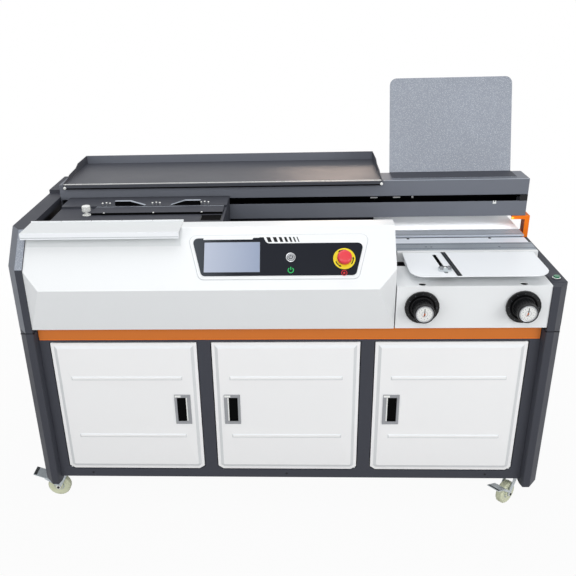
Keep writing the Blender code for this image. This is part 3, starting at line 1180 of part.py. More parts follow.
def make_bracket():
    """The bent sheet that carries the beam's right end on the side wall."""
    low_z = RIGHT_TOP_Z + GAP
    top_z = BEAM_LOW_Z - GAP
    right_x = HALF_WIDTH - GAP
    front_y = BEAM_FRONT_Y
    face = box((right_x - BRACKET_FACE, right_x), (front_y, front_y + BRACKET_WALL), (low_z, top_z))
    bar = box((BRACKET_LEFT_X, right_x), (front_y, front_y + BRACKET_WALL), (top_z - BRACKET_BAR, top_z))
    wall = box((right_x - BRACKET_WALL, right_x), (front_y, BRACKET_BACK_Y), (low_z, top_z))
    top = box((BRACKET_LEFT_X, right_x), (front_y, BRACKET_BACK_Y), (top_z - BRACKET_WALL, top_z))
    foot = box((right_x - BRACKET_FACE, right_x), (front_y, BRACKET_BACK_Y), (low_z, low_z + BRACKET_WALL))
    fuse("guard_bracket", "orange_paint", [wall, face, bar, top, foot])


def make_tray():
    low_z = BEAM_TOP_Z + GAP
    floor = box((TRAY_LEFT_X, TRAY_RIGHT_X), (TRAY_FRONT_Y, TRAY_BACK_Y), (low_z, low_z + TRAY_WALL))
    lip = box((TRAY_LEFT_X, TRAY_RIGHT_X), (TRAY_FRONT_Y, TRAY_FRONT_Y + TRAY_WALL),
              (low_z - TRAY_LIP, low_z + TRAY_WALL))
    top_z = low_z + TRAY_BACK_HEIGHT
    back = box((TRAY_LEFT_X, TRAY_RIGHT_X), (TRAY_BACK_Y - TRAY_WALL, TRAY_BACK_Y), (low_z, top_z))
    depth = TRAY_BACK_Y - TRAY_FRONT_Y
    rise = TRAY_BACK_HEIGHT - TRAY_FRONT_HEIGHT
    edge = [(TRAY_FRONT_Y + depth * along, low_z + TRAY_FRONT_HEIGHT + rise * up)
            for along, up in zip(TRAY_STEP_SHARES, TRAY_HEIGHT_SHARES)]
    side = [(TRAY_FRONT_Y, low_z), (TRAY_BACK_Y, low_z), (TRAY_BACK_Y, top_z)] + edge[::-1]
    pieces = [floor, lip, back]
    for start in (TRAY_LEFT_X, TRAY_RIGHT_X - TRAY_WALL):
        pieces.append(prism(side, start, start + TRAY_WALL, "X"))
    fuse("tray", "beam_paint", pieces)


def make_backboard():
    lean = math.radians(BOARD_LEAN_DEG)
    low_z = BEAM_TOP_Z + GAP
    foot = box((BOARD_LEFT_X, BOARD_RIGHT_X),
               (BOARD_FOLD_Y - BOARD_FOOT, BOARD_FOLD_Y + BOARD_THICKNESS / 2),
               (low_z, low_z + BOARD_THICKNESS))
    radius = BOARD_CORNER
    outline = [(BOARD_LEFT_X, 0), (BOARD_RIGHT_X, 0), (BOARD_RIGHT_X, BOARD_HEIGHT - radius),
               *corner_arc(BOARD_RIGHT_X - radius, BOARD_HEIGHT - radius, radius, radius, True),
               (BOARD_RIGHT_X - radius, BOARD_HEIGHT), (BOARD_LEFT_X + radius, BOARD_HEIGHT),
               *corner_arc(BOARD_LEFT_X + radius, BOARD_HEIGHT - radius, -radius, radius, False),
               (BOARD_LEFT_X, BOARD_HEIGHT - radius)]
    sheet = prism(outline, -BOARD_THICKNESS / 2, BOARD_THICKNESS / 2, "Y")
    sheet.data.transform(Matrix.Translation((0, BOARD_FOLD_Y, low_z + BOARD_THICKNESS / 2))
                         @ Matrix.Rotation(-lean, 4, "X"))
    fuse("backboard", "beam_paint", [foot, sheet])


def make_carriage():
    """The hollow clamp body with its rear jaw, and the arm that rides on the guide rail."""
    book_front_y = BOOK_Y - BOOK_GAP / 2
    book_back_y = BOOK_Y + BOOK_GAP / 2
    x_span = (CARRIAGE_LEFT_X, CARRIAGE_RIGHT_X)
    window_y = (book_front_y - JAW_WALL - JAW_TRAVEL - RUN_GAP, book_back_y)
    deck_block = box(x_span, (CARRIAGE_FRONT_Y, CARRIAGE_BACK_Y), (CARRIAGE_LOW_Z, CARRIAGE_DECK_Z))
    rear_block = box(x_span, (book_back_y, CARRIAGE_BACK_Y), (CARRIAGE_DECK_Z - SINK, CARRIAGE_TOP_Z))
    hollow_x = (CARRIAGE_LEFT_X + CARRIAGE_END, CARRIAGE_RIGHT_X - CARRIAGE_END)
    front_hollow = box(hollow_x, (CARRIAGE_FRONT_Y + CARRIAGE_DECK_THICKNESS, book_back_y),
                       (CARRIAGE_LOW_Z - CUT, CARRIAGE_DECK_Z - CARRIAGE_DECK_THICKNESS))
    rear_hollow = box(hollow_x, (book_back_y + JAW_WALL, CARRIAGE_BACK_Y - CARRIAGE_DECK_THICKNESS),
                      (CARRIAGE_LOW_Z - CUT, CARRIAGE_TOP_Z - CARRIAGE_DECK_THICKNESS))
    middle_z = (SLOT_LOW_Z + SLOT_HIGH_Z) / 2
    arm = box((ARM_X - ARM_LENGTH / 2, ARM_X + ARM_LENGTH / 2), (CARRIAGE_BACK_Y - SINK, RAIL_Y),
              (middle_z - ARM_HEIGHT / 2, middle_z + ARM_HEIGHT / 2))
    slider = box((ARM_X - ARM_LENGTH / 2, ARM_X + ARM_LENGTH / 2),
                 (RAIL_Y - SLIDER_DEPTH / 2, RAIL_Y + SLIDER_DEPTH / 2),
                 (middle_z - SLIDER_DEPTH / 2, middle_z + SLIDER_DEPTH / 2))
    guides = []
    low_z = CARRIAGE_TOP_Z - SINK
    guide_y = book_back_y + GUIDE_SETBACK
    for side, x in zip((1, -1), GUIDE_XS):
        flat = side * GUIDE_LENGTH * GUIDE_FLAT_SHARE
        wedge = [(x, low_z), (x + side * GUIDE_LENGTH, low_z), (x + flat, CARRIAGE_TOP_Z + GUIDE_HEIGHT),
                 (x, CARRIAGE_TOP_Z + GUIDE_HEIGHT)]
        guides.append(prism(wedge, guide_y, guide_y + GUIDE_DEPTH, "Y"))
    rail_half = RAIL_SIZE / 2 + RUN_GAP
    rail_bore = box((ARM_X - ARM_LENGTH, ARM_X + ARM_LENGTH), (RAIL_Y - rail_half, RAIL_Y + rail_half),
                    (middle_z - rail_half, middle_z + rail_half))
    window = box((JAW_LEFT_X - RUN_GAP, JAW_RIGHT_X + RUN_GAP), window_y,
                 (CARRIAGE_LOW_Z - CUT, CARRIAGE_TOP_Z + CUT))
    knob_hole = tube((STOP_KNOB_X, STOP_KNOB_Y, CARRIAGE_DECK_Z - CUT), 2 * CUT, STOP_KNOB_NECK + GAP,
                     "Z", sides=SMALL_SIDES)
    fuse("clamp_carriage", "frame_paint", [deck_block, rear_block, arm, slider] + guides,
         [front_hollow, rear_hollow, window, rail_bore, knob_hole])
    plate = box((JAW_LEFT_X, JAW_RIGHT_X), (JAW_FRONT_Y, book_front_y),
                (CARRIAGE_DECK_Z + GAP, CARRIAGE_TOP_Z))
    blade = box((JAW_LEFT_X, JAW_RIGHT_X), (book_front_y - JAW_WALL, book_front_y),
                (CARRIAGE_LOW_Z, CARRIAGE_TOP_Z))
    fuse("clamp_jaw", "frame_paint", [plate, blade])
    neck = tube((STOP_KNOB_X, STOP_KNOB_Y, CARRIAGE_DECK_Z - STOP_KNOB_SHANK),
                STOP_KNOB_SHANK + STOP_KNOB_NECK_HEIGHT + SINK, STOP_KNOB_NECK, "Z", sides=SMALL_SIDES)
    head = tube((STOP_KNOB_X, STOP_KNOB_Y, CARRIAGE_DECK_Z + STOP_KNOB_NECK_HEIGHT), STOP_KNOB_HEIGHT,
                STOP_KNOB_RADIUS, "Z")
    fuse("stop_knob", "chrome", [head, neck], pivot=(STOP_KNOB_X, STOP_KNOB_Y, CARRIAGE_DECK_Z))


def make_nipping_station():
    spine_top_z = NIP_TOP_Z - NIP_PLATE - RUN_GAP
    bar_low_z = spine_top_z - SPINE_BAR
    carrier_low_z = bar_low_z - CARRIER_THICKNESS
    spine_y = (BOOK_Y - SPINE_DEPTH / 2, BOOK_Y + SPINE_DEPTH / 2)
    x_span = (NIP_LEFT_X, NIP_RIGHT_X)
    bar = box(x_span, spine_y, (bar_low_z + GAP, spine_top_z))
    fuse("spine_plate", "ground_steel", [bar])
    carrier_y = (NIP_FRONT_Y + CARRIER_MARGIN, NIP_REAR_Y + NIP_REAR_DEPTH - CARRIER_MARGIN)
    pieces = [box(x_span, carrier_y, (carrier_low_z, bar_low_z))]
    base_top_z = carrier_low_z - GAP
    base_y = (BOOK_Y - NIP_BASE_DEPTH / 2, BOOK_Y + NIP_BASE_DEPTH / 2)
    holes = []
    for x in NIP_ROD_XS:
        pieces.append(tube((x, BOOK_Y, carrier_low_z - NIP_ROD_LENGTH), NIP_ROD_LENGTH + SINK,
                           NIP_ROD_RADIUS, "Z"))
        holes.append(tube((x, BOOK_Y, base_top_z - NIP_BASE_TOP - CUT), NIP_BASE_TOP + 2 * CUT,
                          NIP_ROD_RADIUS + GAP, "Z"))
    fuse("nip_carrier", "frame_paint", pieces)
    legs = box((NIP_BASE_LEFT_X, NIP_BASE_RIGHT_X), base_y, (BED_TOP_Z + GAP, base_top_z))
    under = box((NIP_BASE_LEFT_X + NIP_BASE_LEG, NIP_BASE_RIGHT_X - NIP_BASE_LEG),
                (base_y[0] - CUT, base_y[1] + CUT), (BED_TOP_Z, base_top_z - NIP_BASE_TOP))
    fuse("nip_base", "cast_iron", [legs], [under] + holes)
    for name, y, depth, foot_y in (
            ("nip_plate_front", NIP_FRONT_Y, NIP_FRONT_DEPTH, NIP_FRONT_Y + CARRIER_MARGIN),
            ("nip_plate_rear", NIP_REAR_Y, NIP_REAR_DEPTH,
             NIP_REAR_Y + NIP_REAR_DEPTH - CARRIER_MARGIN - NIP_FOOT)):
        plate = box(x_span, (y, y + depth), (NIP_TOP_Z - NIP_PLATE, NIP_TOP_Z))
        foot = box(x_span, (foot_y, foot_y + NIP_FOOT), (bar_low_z + GAP, NIP_TOP_Z - NIP_PLATE + SINK))
        fuse(name, "ground_steel", [plate, foot])


def make_rear():
    low_z = BED_TOP_Z + GAP
    sheet_low_z = NIP_TOP_Z - SHEET_THICKNESS
    inner = UPPER_INNER_X - GAP
    top = box((SHEET_LEFT_X, NIP_RIGHT_X), (SHEET_FRONT_Y, SHEET_BACK_Y), (sheet_low_z, NIP_TOP_Z))
    leg = box((SHEET_LEFT_X, inner), (SHEET_BACK_Y - SHEET_THICKNESS, SHEET_BACK_Y), (low_z, NIP_TOP_Z))
    fuse("rear_sheet", "white_paint", [top, leg])
    cover_y = REAR_Y - REAR_COVER_WALL
    wall = box((-inner, inner), (cover_y, REAR_Y), (low_z, REAR_COVER_TOP_Z))
    shelf = box((-inner, inner), (REAR_Y - REAR_COVER_SHELF, REAR_Y),
                (REAR_COVER_TOP_Z - REAR_COVER_WALL, REAR_COVER_TOP_Z))
    fuse("rear_cover", "frame_paint", [wall, shelf])


def make_stations():
    motor_low_z = BED_TOP_Z + GAP
    motor = tube((CUTTER_X, BOOK_Y, motor_low_z), MOTOR_TOP_Z - motor_low_z, MOTOR_RADIUS, "Z")
    bore = tube((CUTTER_X, BOOK_Y, MOTOR_TOP_Z - MOTOR_BORE_DEPTH), MOTOR_BORE_DEPTH + CUT,
                CUTTER_SHAFT_RADIUS + GAP, "Z", sides=SMALL_SIDES)
    fuse("milling_motor", "cast_iron", [motor], [bore])
    disc_low_z = CUTTER_TOP_Z - CUTTER_THICKNESS
    disc = tube((CUTTER_X, BOOK_Y, disc_low_z), CUTTER_THICKNESS, CUTTER_RADIUS, "Z")
    shaft = tube((CUTTER_X, BOOK_Y, disc_low_z - CUTTER_SHAFT_LENGTH), CUTTER_SHAFT_LENGTH + SINK,
                 CUTTER_SHAFT_RADIUS, "Z", sides=SMALL_SIDES)
    fuse("milling_cutter", "ground_steel", [disc, shaft], pivot=(CUTTER_X, BOOK_Y, disc_low_z))
    half_x = TANK_WIDTH / 2
    half_y = TANK_DEPTH / 2
    axle_z = ROLLER_TOP_Z - ROLLER_RADIUS
    outer = box((TANK_X - half_x, TANK_X + half_x), (BOOK_Y - half_y, BOOK_Y + half_y),
                (motor_low_z, TANK_TOP_Z))
    inner = box((TANK_X - half_x + TANK_WALL, TANK_X + half_x - TANK_WALL),
                (BOOK_Y - half_y + TANK_WALL, BOOK_Y + half_y - TANK_WALL),
                (motor_low_z + TANK_WALL, TANK_TOP_Z + CUT))
    bearing = tube((TANK_X, BOOK_Y - half_y - CUT, axle_z), TANK_DEPTH + 2 * CUT,
                   ROLLER_AXLE_RADIUS + GAP, "Y", sides=SMALL_SIDES)
    fuse("glue_tank", "zinc", [outer], [inner, bearing])
    drum_length = TANK_DEPTH - (TANK_WALL + ROLLER_END_GAP) * 2
    drum = tube((TANK_X, BOOK_Y - drum_length / 2, axle_z), drum_length, ROLLER_RADIUS, "Y")
    axle = tube((TANK_X, BOOK_Y - half_y, axle_z), TANK_DEPTH, ROLLER_AXLE_RADIUS, "Y", sides=SMALL_SIDES)
    fuse("glue_roller", "ground_steel", [drum, axle], pivot=(TANK_X, BOOK_Y, axle_z))


def place_origin():
    """Move the machine so that the origin is the middle of its footprint, on the floor."""
    left = CASTER_X + PEDAL_REACH
    front = WING_FRONT_Y - KNOB_BASE_THICKNESS - KNOB_LENGTH - 2 * GAP
    root.location = ((left - HALF_WIDTH) / 2, -(front + TRAY_BACK_Y) / 2, 0)


make_lower_sides()
make_upper_sides()
make_front_frame()
make_doors()
make_cabinet()
make_casters()
make_casing()
make_lid()
make_panel()
make_wing()
make_knobs()
make_start_button()
make_table()
make_beam()
make_bracket()
make_tray()
make_backboard()
make_carriage()
make_nipping_station()
make_rear()
make_stations()
place_origin()
bpy.context.view_layer.update()
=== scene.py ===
"""Looks of the perfect binding machine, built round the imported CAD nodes."""

import json
import math
import random

import bmesh
import bpy
from mathutils import Matrix, Vector, geometry

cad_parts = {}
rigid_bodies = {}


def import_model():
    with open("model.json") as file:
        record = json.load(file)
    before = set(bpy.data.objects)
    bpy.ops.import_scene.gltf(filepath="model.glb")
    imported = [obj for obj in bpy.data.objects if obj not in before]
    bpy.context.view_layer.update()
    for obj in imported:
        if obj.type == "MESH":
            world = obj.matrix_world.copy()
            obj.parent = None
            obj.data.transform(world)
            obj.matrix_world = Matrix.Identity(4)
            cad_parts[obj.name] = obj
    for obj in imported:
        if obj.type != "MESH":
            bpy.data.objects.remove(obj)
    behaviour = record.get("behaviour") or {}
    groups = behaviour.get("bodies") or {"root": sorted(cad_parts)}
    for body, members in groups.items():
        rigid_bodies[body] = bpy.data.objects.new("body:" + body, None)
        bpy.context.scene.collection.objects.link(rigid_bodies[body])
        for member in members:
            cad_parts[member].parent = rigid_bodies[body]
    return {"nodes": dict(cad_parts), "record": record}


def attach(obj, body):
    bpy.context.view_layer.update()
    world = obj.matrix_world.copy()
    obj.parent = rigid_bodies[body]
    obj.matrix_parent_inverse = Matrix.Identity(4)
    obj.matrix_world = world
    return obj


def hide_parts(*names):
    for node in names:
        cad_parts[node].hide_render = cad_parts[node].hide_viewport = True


for leftover in list(bpy.data.objects):
    bpy.data.objects.remove(leftover, do_unlink=True)
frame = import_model()
NODES = frame["nodes"]
BODY_OF = {node: body for body, members in frame["record"]["behaviour"]["bodies"].items() for node in members}
SLOT_OF = {entry["node"]: entry["material_slot"] for entry in frame["record"]["subparts"]}
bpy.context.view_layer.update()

MM = 0.001
# Machine coordinates have x = 0 in the middle of the doors and y = 0 at their fronts
SHIFT = Vector((0.0265, -0.3028, 0.0))
TO_ROW = Matrix.Translation(SHIFT)
# The casing's slope: u runs right, v up the slope from the fold, w out of it
FOLD = (-0.0559, 0.7895)
SLOPE = math.radians(49.9)
TO_SLOPE = TO_ROW @ Matrix.Translation((0, *FOLD)) @ Matrix.Rotation(SLOPE, 4, "X")
FILM_TOP = 4.3
SCREEN_LEFT, SCREEN_RIGHT = -0.2228, -0.0669
# The table's slot and strip lie skewed to the table
TABLE_SKEW = Matrix.Rotation(math.radians(3.8), 4, "Z")


def linear(code):
    """Scene-linear colour of an sRGB hex code."""
    values = [int(code[i:i + 2], 16) / 255 for i in (1, 3, 5)]
    return tuple(v / 12.92 if v <= 0.04045 else ((v + 0.055) / 1.055) ** 2.4 for v in values)


def mm(*points):
    """Points given in mm, in metres."""
    return [tuple(value * MM for value in point) for point in points]


def add(tree, kind, inputs=(), **values):
    """One node. Inputs, by name or in order, take a node, one of its outputs or a plain value."""
    node = tree.nodes.new(kind)
    sockets = dict(inputs if isinstance(inputs, dict) else enumerate(inputs))
    for key, value in values.items():
        if hasattr(node, key):
            setattr(node, key, value)
        else:
            sockets[key.replace("_", " ").title()] = value
    for key, value in sockets.items():
        if isinstance(value, bpy.types.Node):
            value = value.outputs[0]
        if isinstance(value, bpy.types.NodeSocket):
            tree.links.new(value, node.inputs[key])
        else:
            node.inputs[key].default_value = value
    return node


def surface(name, code, rough, grain, depth, tint, metal=0.0, smudge=90.0, smudge_rough=0.05,
            stretch=(1, 1, 1), coat=0.0, shine=0.5, fleck=None, fleck_size=1.6, fleck_share=0.0):
    """A solid finish. Grain, its bump depth, smudges and flecks are in mm, tint is the colour's change."""
    material = bpy.data.materials.new(name)
    material.use_nodes = True
    tree = material.node_tree
    shader = tree.nodes["Principled BSDF"]
    shader.inputs["Metallic"].default_value = metal
    shader.inputs["Specular IOR Level"].default_value = shine
    shader.inputs["Coat Weight"].default_value = coat
    shader.inputs["Coat Roughness"].default_value = 0.12
    place = add(tree, "ShaderNodeTexCoord").outputs["Object"]
    mapped = add(tree, "ShaderNodeMapping", {"Vector": place}, Scale=stretch)
    fine = add(tree, "ShaderNodeTexNoise", {"Vector": mapped}, Scale=1 / (grain * MM), Detail=3.0,
               Roughness=0.55)
    broad = add(tree, "ShaderNodeTexNoise", {"Vector": place}, Scale=1 / (smudge * MM), Detail=4.0,
                Roughness=0.6)
    shade = add(tree, "ShaderNodeMapRange", {"Value": broad}, From_Min=0.3, From_Max=0.7,
                To_Min=1 - tint / 2, To_Max=1 + tint / 2)
    grainy = add(tree, "ShaderNodeMapRange", {"Value": fine}, From_Min=0.25, From_Max=0.75,
                 To_Min=1 - tint, To_Max=1 + tint)
    both = add(tree, "ShaderNodeMath", (shade, grainy), operation="MULTIPLY")
    colour = add(tree, "ShaderNodeVectorMath", {0: linear(code), "Scale": both}, operation="SCALE")
    out = colour.outputs[0]
    if fleck:
        speck = add(tree, "ShaderNodeTexVoronoi", {"Vector": place}, Scale=1 / (fleck_size * MM))
        mask = add(tree, "ShaderNodeMapRange", {"Value": speck}, From_Min=0.1, From_Max=0.32,
                   To_Min=fleck_share, To_Max=0.0)
        out = add(tree, "ShaderNodeMix", {"Factor": mask, 6: out, 7: (*linear(fleck), 1.0)},
                  data_type="RGBA").outputs[2]
    tree.links.new(out, shader.inputs["Base Color"])
    gloss = add(tree, "ShaderNodeMapRange", {"Value": broad}, From_Min=0.3, From_Max=0.7,
                To_Min=max(rough - smudge_rough, 0.02), To_Max=rough + smudge_rough)
    tree.links.new(gloss.outputs[0], shader.inputs["Roughness"])
    if depth:
        bump = add(tree, "ShaderNodeBump", {"Height": fine}, Strength=0.6, Distance=depth * MM)
        tree.links.new(bump.outputs["Normal"], shader.inputs["Normal"])
    return material


def faded(key, start_x, end_x, code):
    """Painted light: another colour of a finish mixed in at start_x (machine coordinates), gone by end_x."""
    tree = M[key].node_tree
    shader = tree.nodes["Principled BSDF"]
    own = shader.inputs["Base Color"].links[0].from_socket
    place = add(tree, "ShaderNodeTexCoord").outputs["Object"]
    across = add(tree, "ShaderNodeSeparateXYZ", {"Vector": place})
    share = add(tree, "ShaderNodeMapRange", {"Value": across}, From_Min=start_x + SHIFT.x,
                From_Max=end_x + SHIFT.x, To_Min=1.0, To_Max=0.0)
    mix = add(tree, "ShaderNodeMix", {"Factor": share, 6: own, 7: (*linear(code), 1.0)}, data_type="RGBA")
    tree.links.new(mix.outputs[2], shader.inputs["Base Color"])


# Name, colour, roughness, then grain, its depth and tint
M = {
    # Structured powder coat, dark gray
    "frame_paint": surface("powder coat structured gray", "#3A3C44", 0.6, 0.9, 0.05, 0.06, shine=0.3),
    # Smooth powder coat, white
    "white_paint": surface("powder coat smooth white", "#EEF0F1", 0.34, 1.6, 0.008, 0.006, smudge_rough=0.03,
                           coat=0.1),
    # Stove enamel on the doors, a warmer white
    "door_enamel": surface("stove enamel warm white", "#F9F9F9", 0.4, 1.6, 0.008, 0.006),
    # Painted shade: the same white made darker on the doors' slopes and in pressed grooves, where shade falls
    # on it
    "door_slope": surface("powder coat white in shade", "#DFE1E2", 0.5, 1.2, 0.01, 0.02, shine=0.3),
    "white_groove": surface("powder coat white painted groove shade", "#C6CACD", 0.5, 1.2, 0.01, 0.02, shine=0.3),
    # The same white on the filling lid, a shade grayer; also painted shade on the casing's top fold
    "lid_paint": surface("powder coat satin white", "#E0E3E4", 0.42, 1.2, 0.01, 0.01),
    # Smooth powder coat, orange
    "orange_paint": surface("powder coat smooth orange", "#D1742A", 0.42, 1.4, 0.012, 0.02, shine=0.35),
    # The bracket's inner side, in shade
    "bracket_shade": surface("powder coat satin orange in shade", "#9C4516", 0.5, 1.4, 0.012, 0.02),
    # Satin powder coat, bright orange, on the bracket; also a painted highlight along the trim's lower edge
    "bracket_paint": surface("powder coat satin orange", "#FF7F18", 0.45, 1.4, 0.012, 0.02, shine=0.2),
    # Gloss enamel on the sheets that books and covers slide on, whiter than the casing, partly to lighten the
    # rear sheet in the beam's shade (painted light); also painted highlights on the lid's fold and lip and
    # the doors' upper slopes
    "sheet_enamel": surface("stove enamel white", "#F6F9FC", 0.42, 1.6, 0.006, 0.004, smudge_rough=0.02,
                            coat=0.15, shine=0.5),
    # Satin powder coat, gray; also painted highlights on the left post's chamfer and the tray's back wall
    "beam_paint": surface("powder coat satin gray", "#6C7079", 0.5, 0.8, 0.03, 0.04, shine=0.35),
    # Speckled powder coat with metal flakes, drawn coarser than real ones so that they show; also a painted
    # highlight on the left post's slope
    "board_paint": surface("powder coat speckled gray", "#8F95A0", 0.42, 3.0, 0.32, 0.12, smudge=320.0,
                           fleck="#E6EAF0", fleck_size=2.8, fleck_share=0.9, shine=0.5),
    # Satin gray paint on the tray, with a warmer sheen; also painted shade on the clamp's rear top
    "tray_paint": surface("powder coat tray gray", "#45474E", 0.46, 0.8, 0.03, 0.04, shine=0.3, smudge=260.0),
    # Polished aluminium on turned knobs, and painted highlights along bright edges
    "bright_metal": surface("polished aluminium", "#F1F2EF", 0.28, 0.8, 0.004, 0.03, metal=0.25),
    # Bright zinc plate on the casters
    "caster_zinc": surface("zinc plate bright", "#C3CACE", 0.36, 2.4, 0.01, 0.08, metal=0.35, smudge=20.0),
    # Chromium plate
    "chrome": surface("chromium plate", "#C9CBCE", 0.14, 2.0, 0.003, 0.02, metal=1.0),
    # Satin nickel plate, fine grain
    "nickel": surface("satin nickel plate", "#97999D", 0.34, 0.4, 0.006, 0.08, metal=1.0),
    # Zinc plate, faintly mottled
    "zinc": surface("zinc plate", "#A9ACB0", 0.33, 3.0, 0.01, 0.09, metal=1.0, smudge=25.0),
    # Ground steel, grain along X
    "ground_steel": surface("ground steel", "#EDF2FA", 0.42, 0.5, 0.008, 0.05, metal=0.25,
                            stretch=(0.04, 1, 1)),
    # Phosphated steel, a shade darker
    "dark_steel": surface("phosphated steel", "#99A1AA", 0.45, 0.6, 0.01, 0.1, metal=0.3,
                          stretch=(0.05, 1, 1)),
    # Dull steel plates of the nipping station; also painted highlights on the clamp's guide tops and jaw seam
    # and the beam's top edge
    "dull_steel": surface("oxidised steel", "#B4BBC5", 0.45, 0.6, 0.01, 0.06, metal=0.3,
                          stretch=(0.05, 1, 1)),
    # Blackened steel screws
    "black_steel": surface("blackened steel", "#202124", 0.45, 0.8, 0.01, 0.08, metal=0.3, shine=0.3),
    # Moulded ABS, black
    "black_plastic": surface("ABS black", "#0B0C0E", 0.3, 0.7, 0.012, 0.08, shine=0.32),
    # Matt black on dark joints, and painted shade inside recesses, slots, holes and openings
    "black_joint_and_shade": surface("matt black joints and painted shade", "#060607", 0.9, 0.8, 0.01, 0.1, shine=0.05),
    # Printed polyester film, charcoal
    "panel_film": surface("polyester film charcoal", "#191C24", 0.34, 1.0, 0.0, 0.01, smudge_rough=0.02,
                          shine=0.12),
    # Unlit display behind glass
    "screen_glass": surface("display glass", "#8F9BB3", 0.2, 2.0, 0.0, 0.01, smudge_rough=0.03, coat=0.25),
    # Moulded PBT, red
    "red_plastic": surface("PBT red", "#DC3541", 0.32, 1.0, 0.004, 0.02, coat=0.1),
    # Moulded PBT, yellow
    "yellow_plastic": surface("PBT yellow", "#F0DA12", 0.36, 1.0, 0.004, 0.02),
    # Moulded acrylic, green
    "green_plastic": surface("acrylic green", "#1F7A54", 0.25, 1.2, 0.003, 0.04, coat=0.3),
    # Cast nylon, cream
    "cream_nylon": surface("cast nylon cream", "#DDE0C2", 0.5, 0.9, 0.02, 0.04, shine=0.35),
    # Painted cast iron
    "cast_iron": surface("cast iron painted", "#3F4144", 0.6, 1.8, 0.12, 0.12, metal=0.3),
    # Nitrile rubber
    "rubber": surface("nitrile rubber", "#131416", 0.6, 0.6, 0.02, 0.1, shine=0.3),
    # Stove enamel on the dials
    "dial_enamel": surface("stove enamel white", "#E9EAE8", 0.4, 0.8, 0.002, 0.01),
    # Screen-printed inks; the white one also paints the glint of the metal fixings in the beam's slot
    "white_ink": surface("screen print ink white", "#E9EAEA", 0.45, 0.5, 0.002, 0.02),
    "black_ink": surface("screen print ink black", "#101012", 0.5, 0.5, 0.002, 0.05, shine=0.2),
    "orange_ink": surface("screen print ink orange", "#C8601C", 0.45, 0.5, 0.002, 0.03),
    "green_ink": surface("screen print ink green", "#2FB560", 0.45, 0.5, 0.002, 0.03, shine=0.2),
    "red_ink": surface("screen print ink red", "#CF3338", 0.45, 0.5, 0.002, 0.03, shine=0.2),
    # Set hot-melt glue, amber
    "glue": surface("hot melt glue amber", "#B98A45", 0.3, 6.0, 0.4, 0.12, coat=0.4),
}
# Painted light: the display and the film are lighter at their left ends, where they catch the light
faded("screen_glass", SCREEN_LEFT, SCREEN_RIGHT, "#B2BACB")
faded("panel_film", -0.250, -0.130, "#43484E")


def settle(name, mesh, material, node, smooth=35.0, weighted=True):
    """A finished piece from a mesh in row coordinates, on the body of a CAD node."""
    mesh.shade_smooth()
    mesh.set_sharp_from_angle(angle=math.radians(smooth))
    piece = bpy.data.objects.new(name, mesh)
    bpy.context.scene.collection.objects.link(piece)
    if weighted:
        modifier = piece.modifiers.new("weighted", "WEIGHTED_NORMAL")
        modifier.keep_sharp = True
        bpy.context.view_layer.update()
        graph = bpy.context.evaluated_depsgraph_get()
        piece.data = bpy.data.meshes.new_from_object(piece.evaluated_get(graph))
        piece.data.name = name
        piece.modifiers.clear()
    piece.data.materials.clear()
    piece.data.materials.append(M[material])
    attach(piece, BODY_OF[node])
    return piece


def publish(name, bm, material, node, slot=None, smooth=35.0, weighted=True):
    """A closed bmesh in row coordinates as a finished piece on a node's body."""
    bmesh.ops.recalc_face_normals(bm, faces=bm.faces)
    mesh = bpy.data.meshes.new(name)
    bm.to_mesh(mesh)
    bm.free()
    return settle(name, mesh, material, node, smooth, weighted)


def local_corners(name, place):
    """All corners of a CAD node in another frame."""
    node = NODES[name]
    return [place.inverted() @ (node.matrix_world @ v.co) for v in node.data.vertices]


def corners(name):
    """All corners of a CAD node in machine coordinates."""
    node = NODES[name]
    return [node.matrix_world @ v.co - SHIFT for v in node.data.vertices]


def span(name):
    """Low and high corner of a CAD node's box in machine coordinates."""
    points = corners(name)
    return (Vector([min(p[i] for p in points) for i in range(3)]),
            Vector([max(p[i] for p in points) for i in range(3)]))


def at(node, pick, *offsets):
    """A point of a node's box, l low, m middle or h high on each axis, moved by mm."""
    low, high = span(node)
    levels = {"l": low, "m": [(a + b) / 2 for a, b in zip(low, high)], "h": high}
    return tuple(levels[letter][i] + offset * MM for i, (letter, offset) in enumerate(zip(pick, offsets)))


def cad_bmesh(name):
    """The CAD node's mesh with shared corners and whole faces."""
    bm = bmesh.new()
    bm.from_mesh(NODES[name].data)
    bmesh.ops.remove_doubles(bm, verts=bm.verts, dist=0.02 * MM)
    bmesh.ops.dissolve_limit(bm, angle_limit=math.radians(0.3), verts=bm.verts, edges=bm.edges)
    return bm


def dress(name, bevel, material):
    """A CAD node's form with its sharper edges rounded, bevel in mm, standing for the node."""
    bm = cad_bmesh(name)
    limit = math.radians(28)
    sharp = [e for e in bm.edges if len(e.link_faces) == 2 and e.calc_face_angle(0) > limit]
    bmesh.ops.bevel(bm, geom=sharp, offset=bevel * MM, offset_type="OFFSET", segments=2, profile=0.5,
                    affect="EDGES", clamp_overlap=True)
    bmesh.ops.triangulate(bm, faces=[f for f in bm.faces if len(f.verts) > 4])
    piece = publish(name + "_skin", bm, material or SLOT_OF[name], name, SLOT_OF[name])
    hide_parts(name)


def skin_over(name, node, pick, material):
    """Another colour on some of a node's faces, used for painted light and shade: a closed film that rises
    out of them and sinks in.
    """
    lift, sink = 0.12 * MM, 0.4 * MM
    bm = cad_bmesh(node)
    spare = [f for f in bm.faces if not pick(f.normal, f.calc_center_median() - SHIFT)]
    bmesh.ops.delete(bm, geom=spare, context="FACES")
    bm.normal_update()
    moves = [(v, v.normal * lift) for v in bm.verts]
    for v, move in moves:
        v.co += move
    bmesh.ops.solidify(bm, geom=bm.faces[:], thickness=lift + sink)
    publish(name, bm, material, node, smooth=30.0, weighted=False)


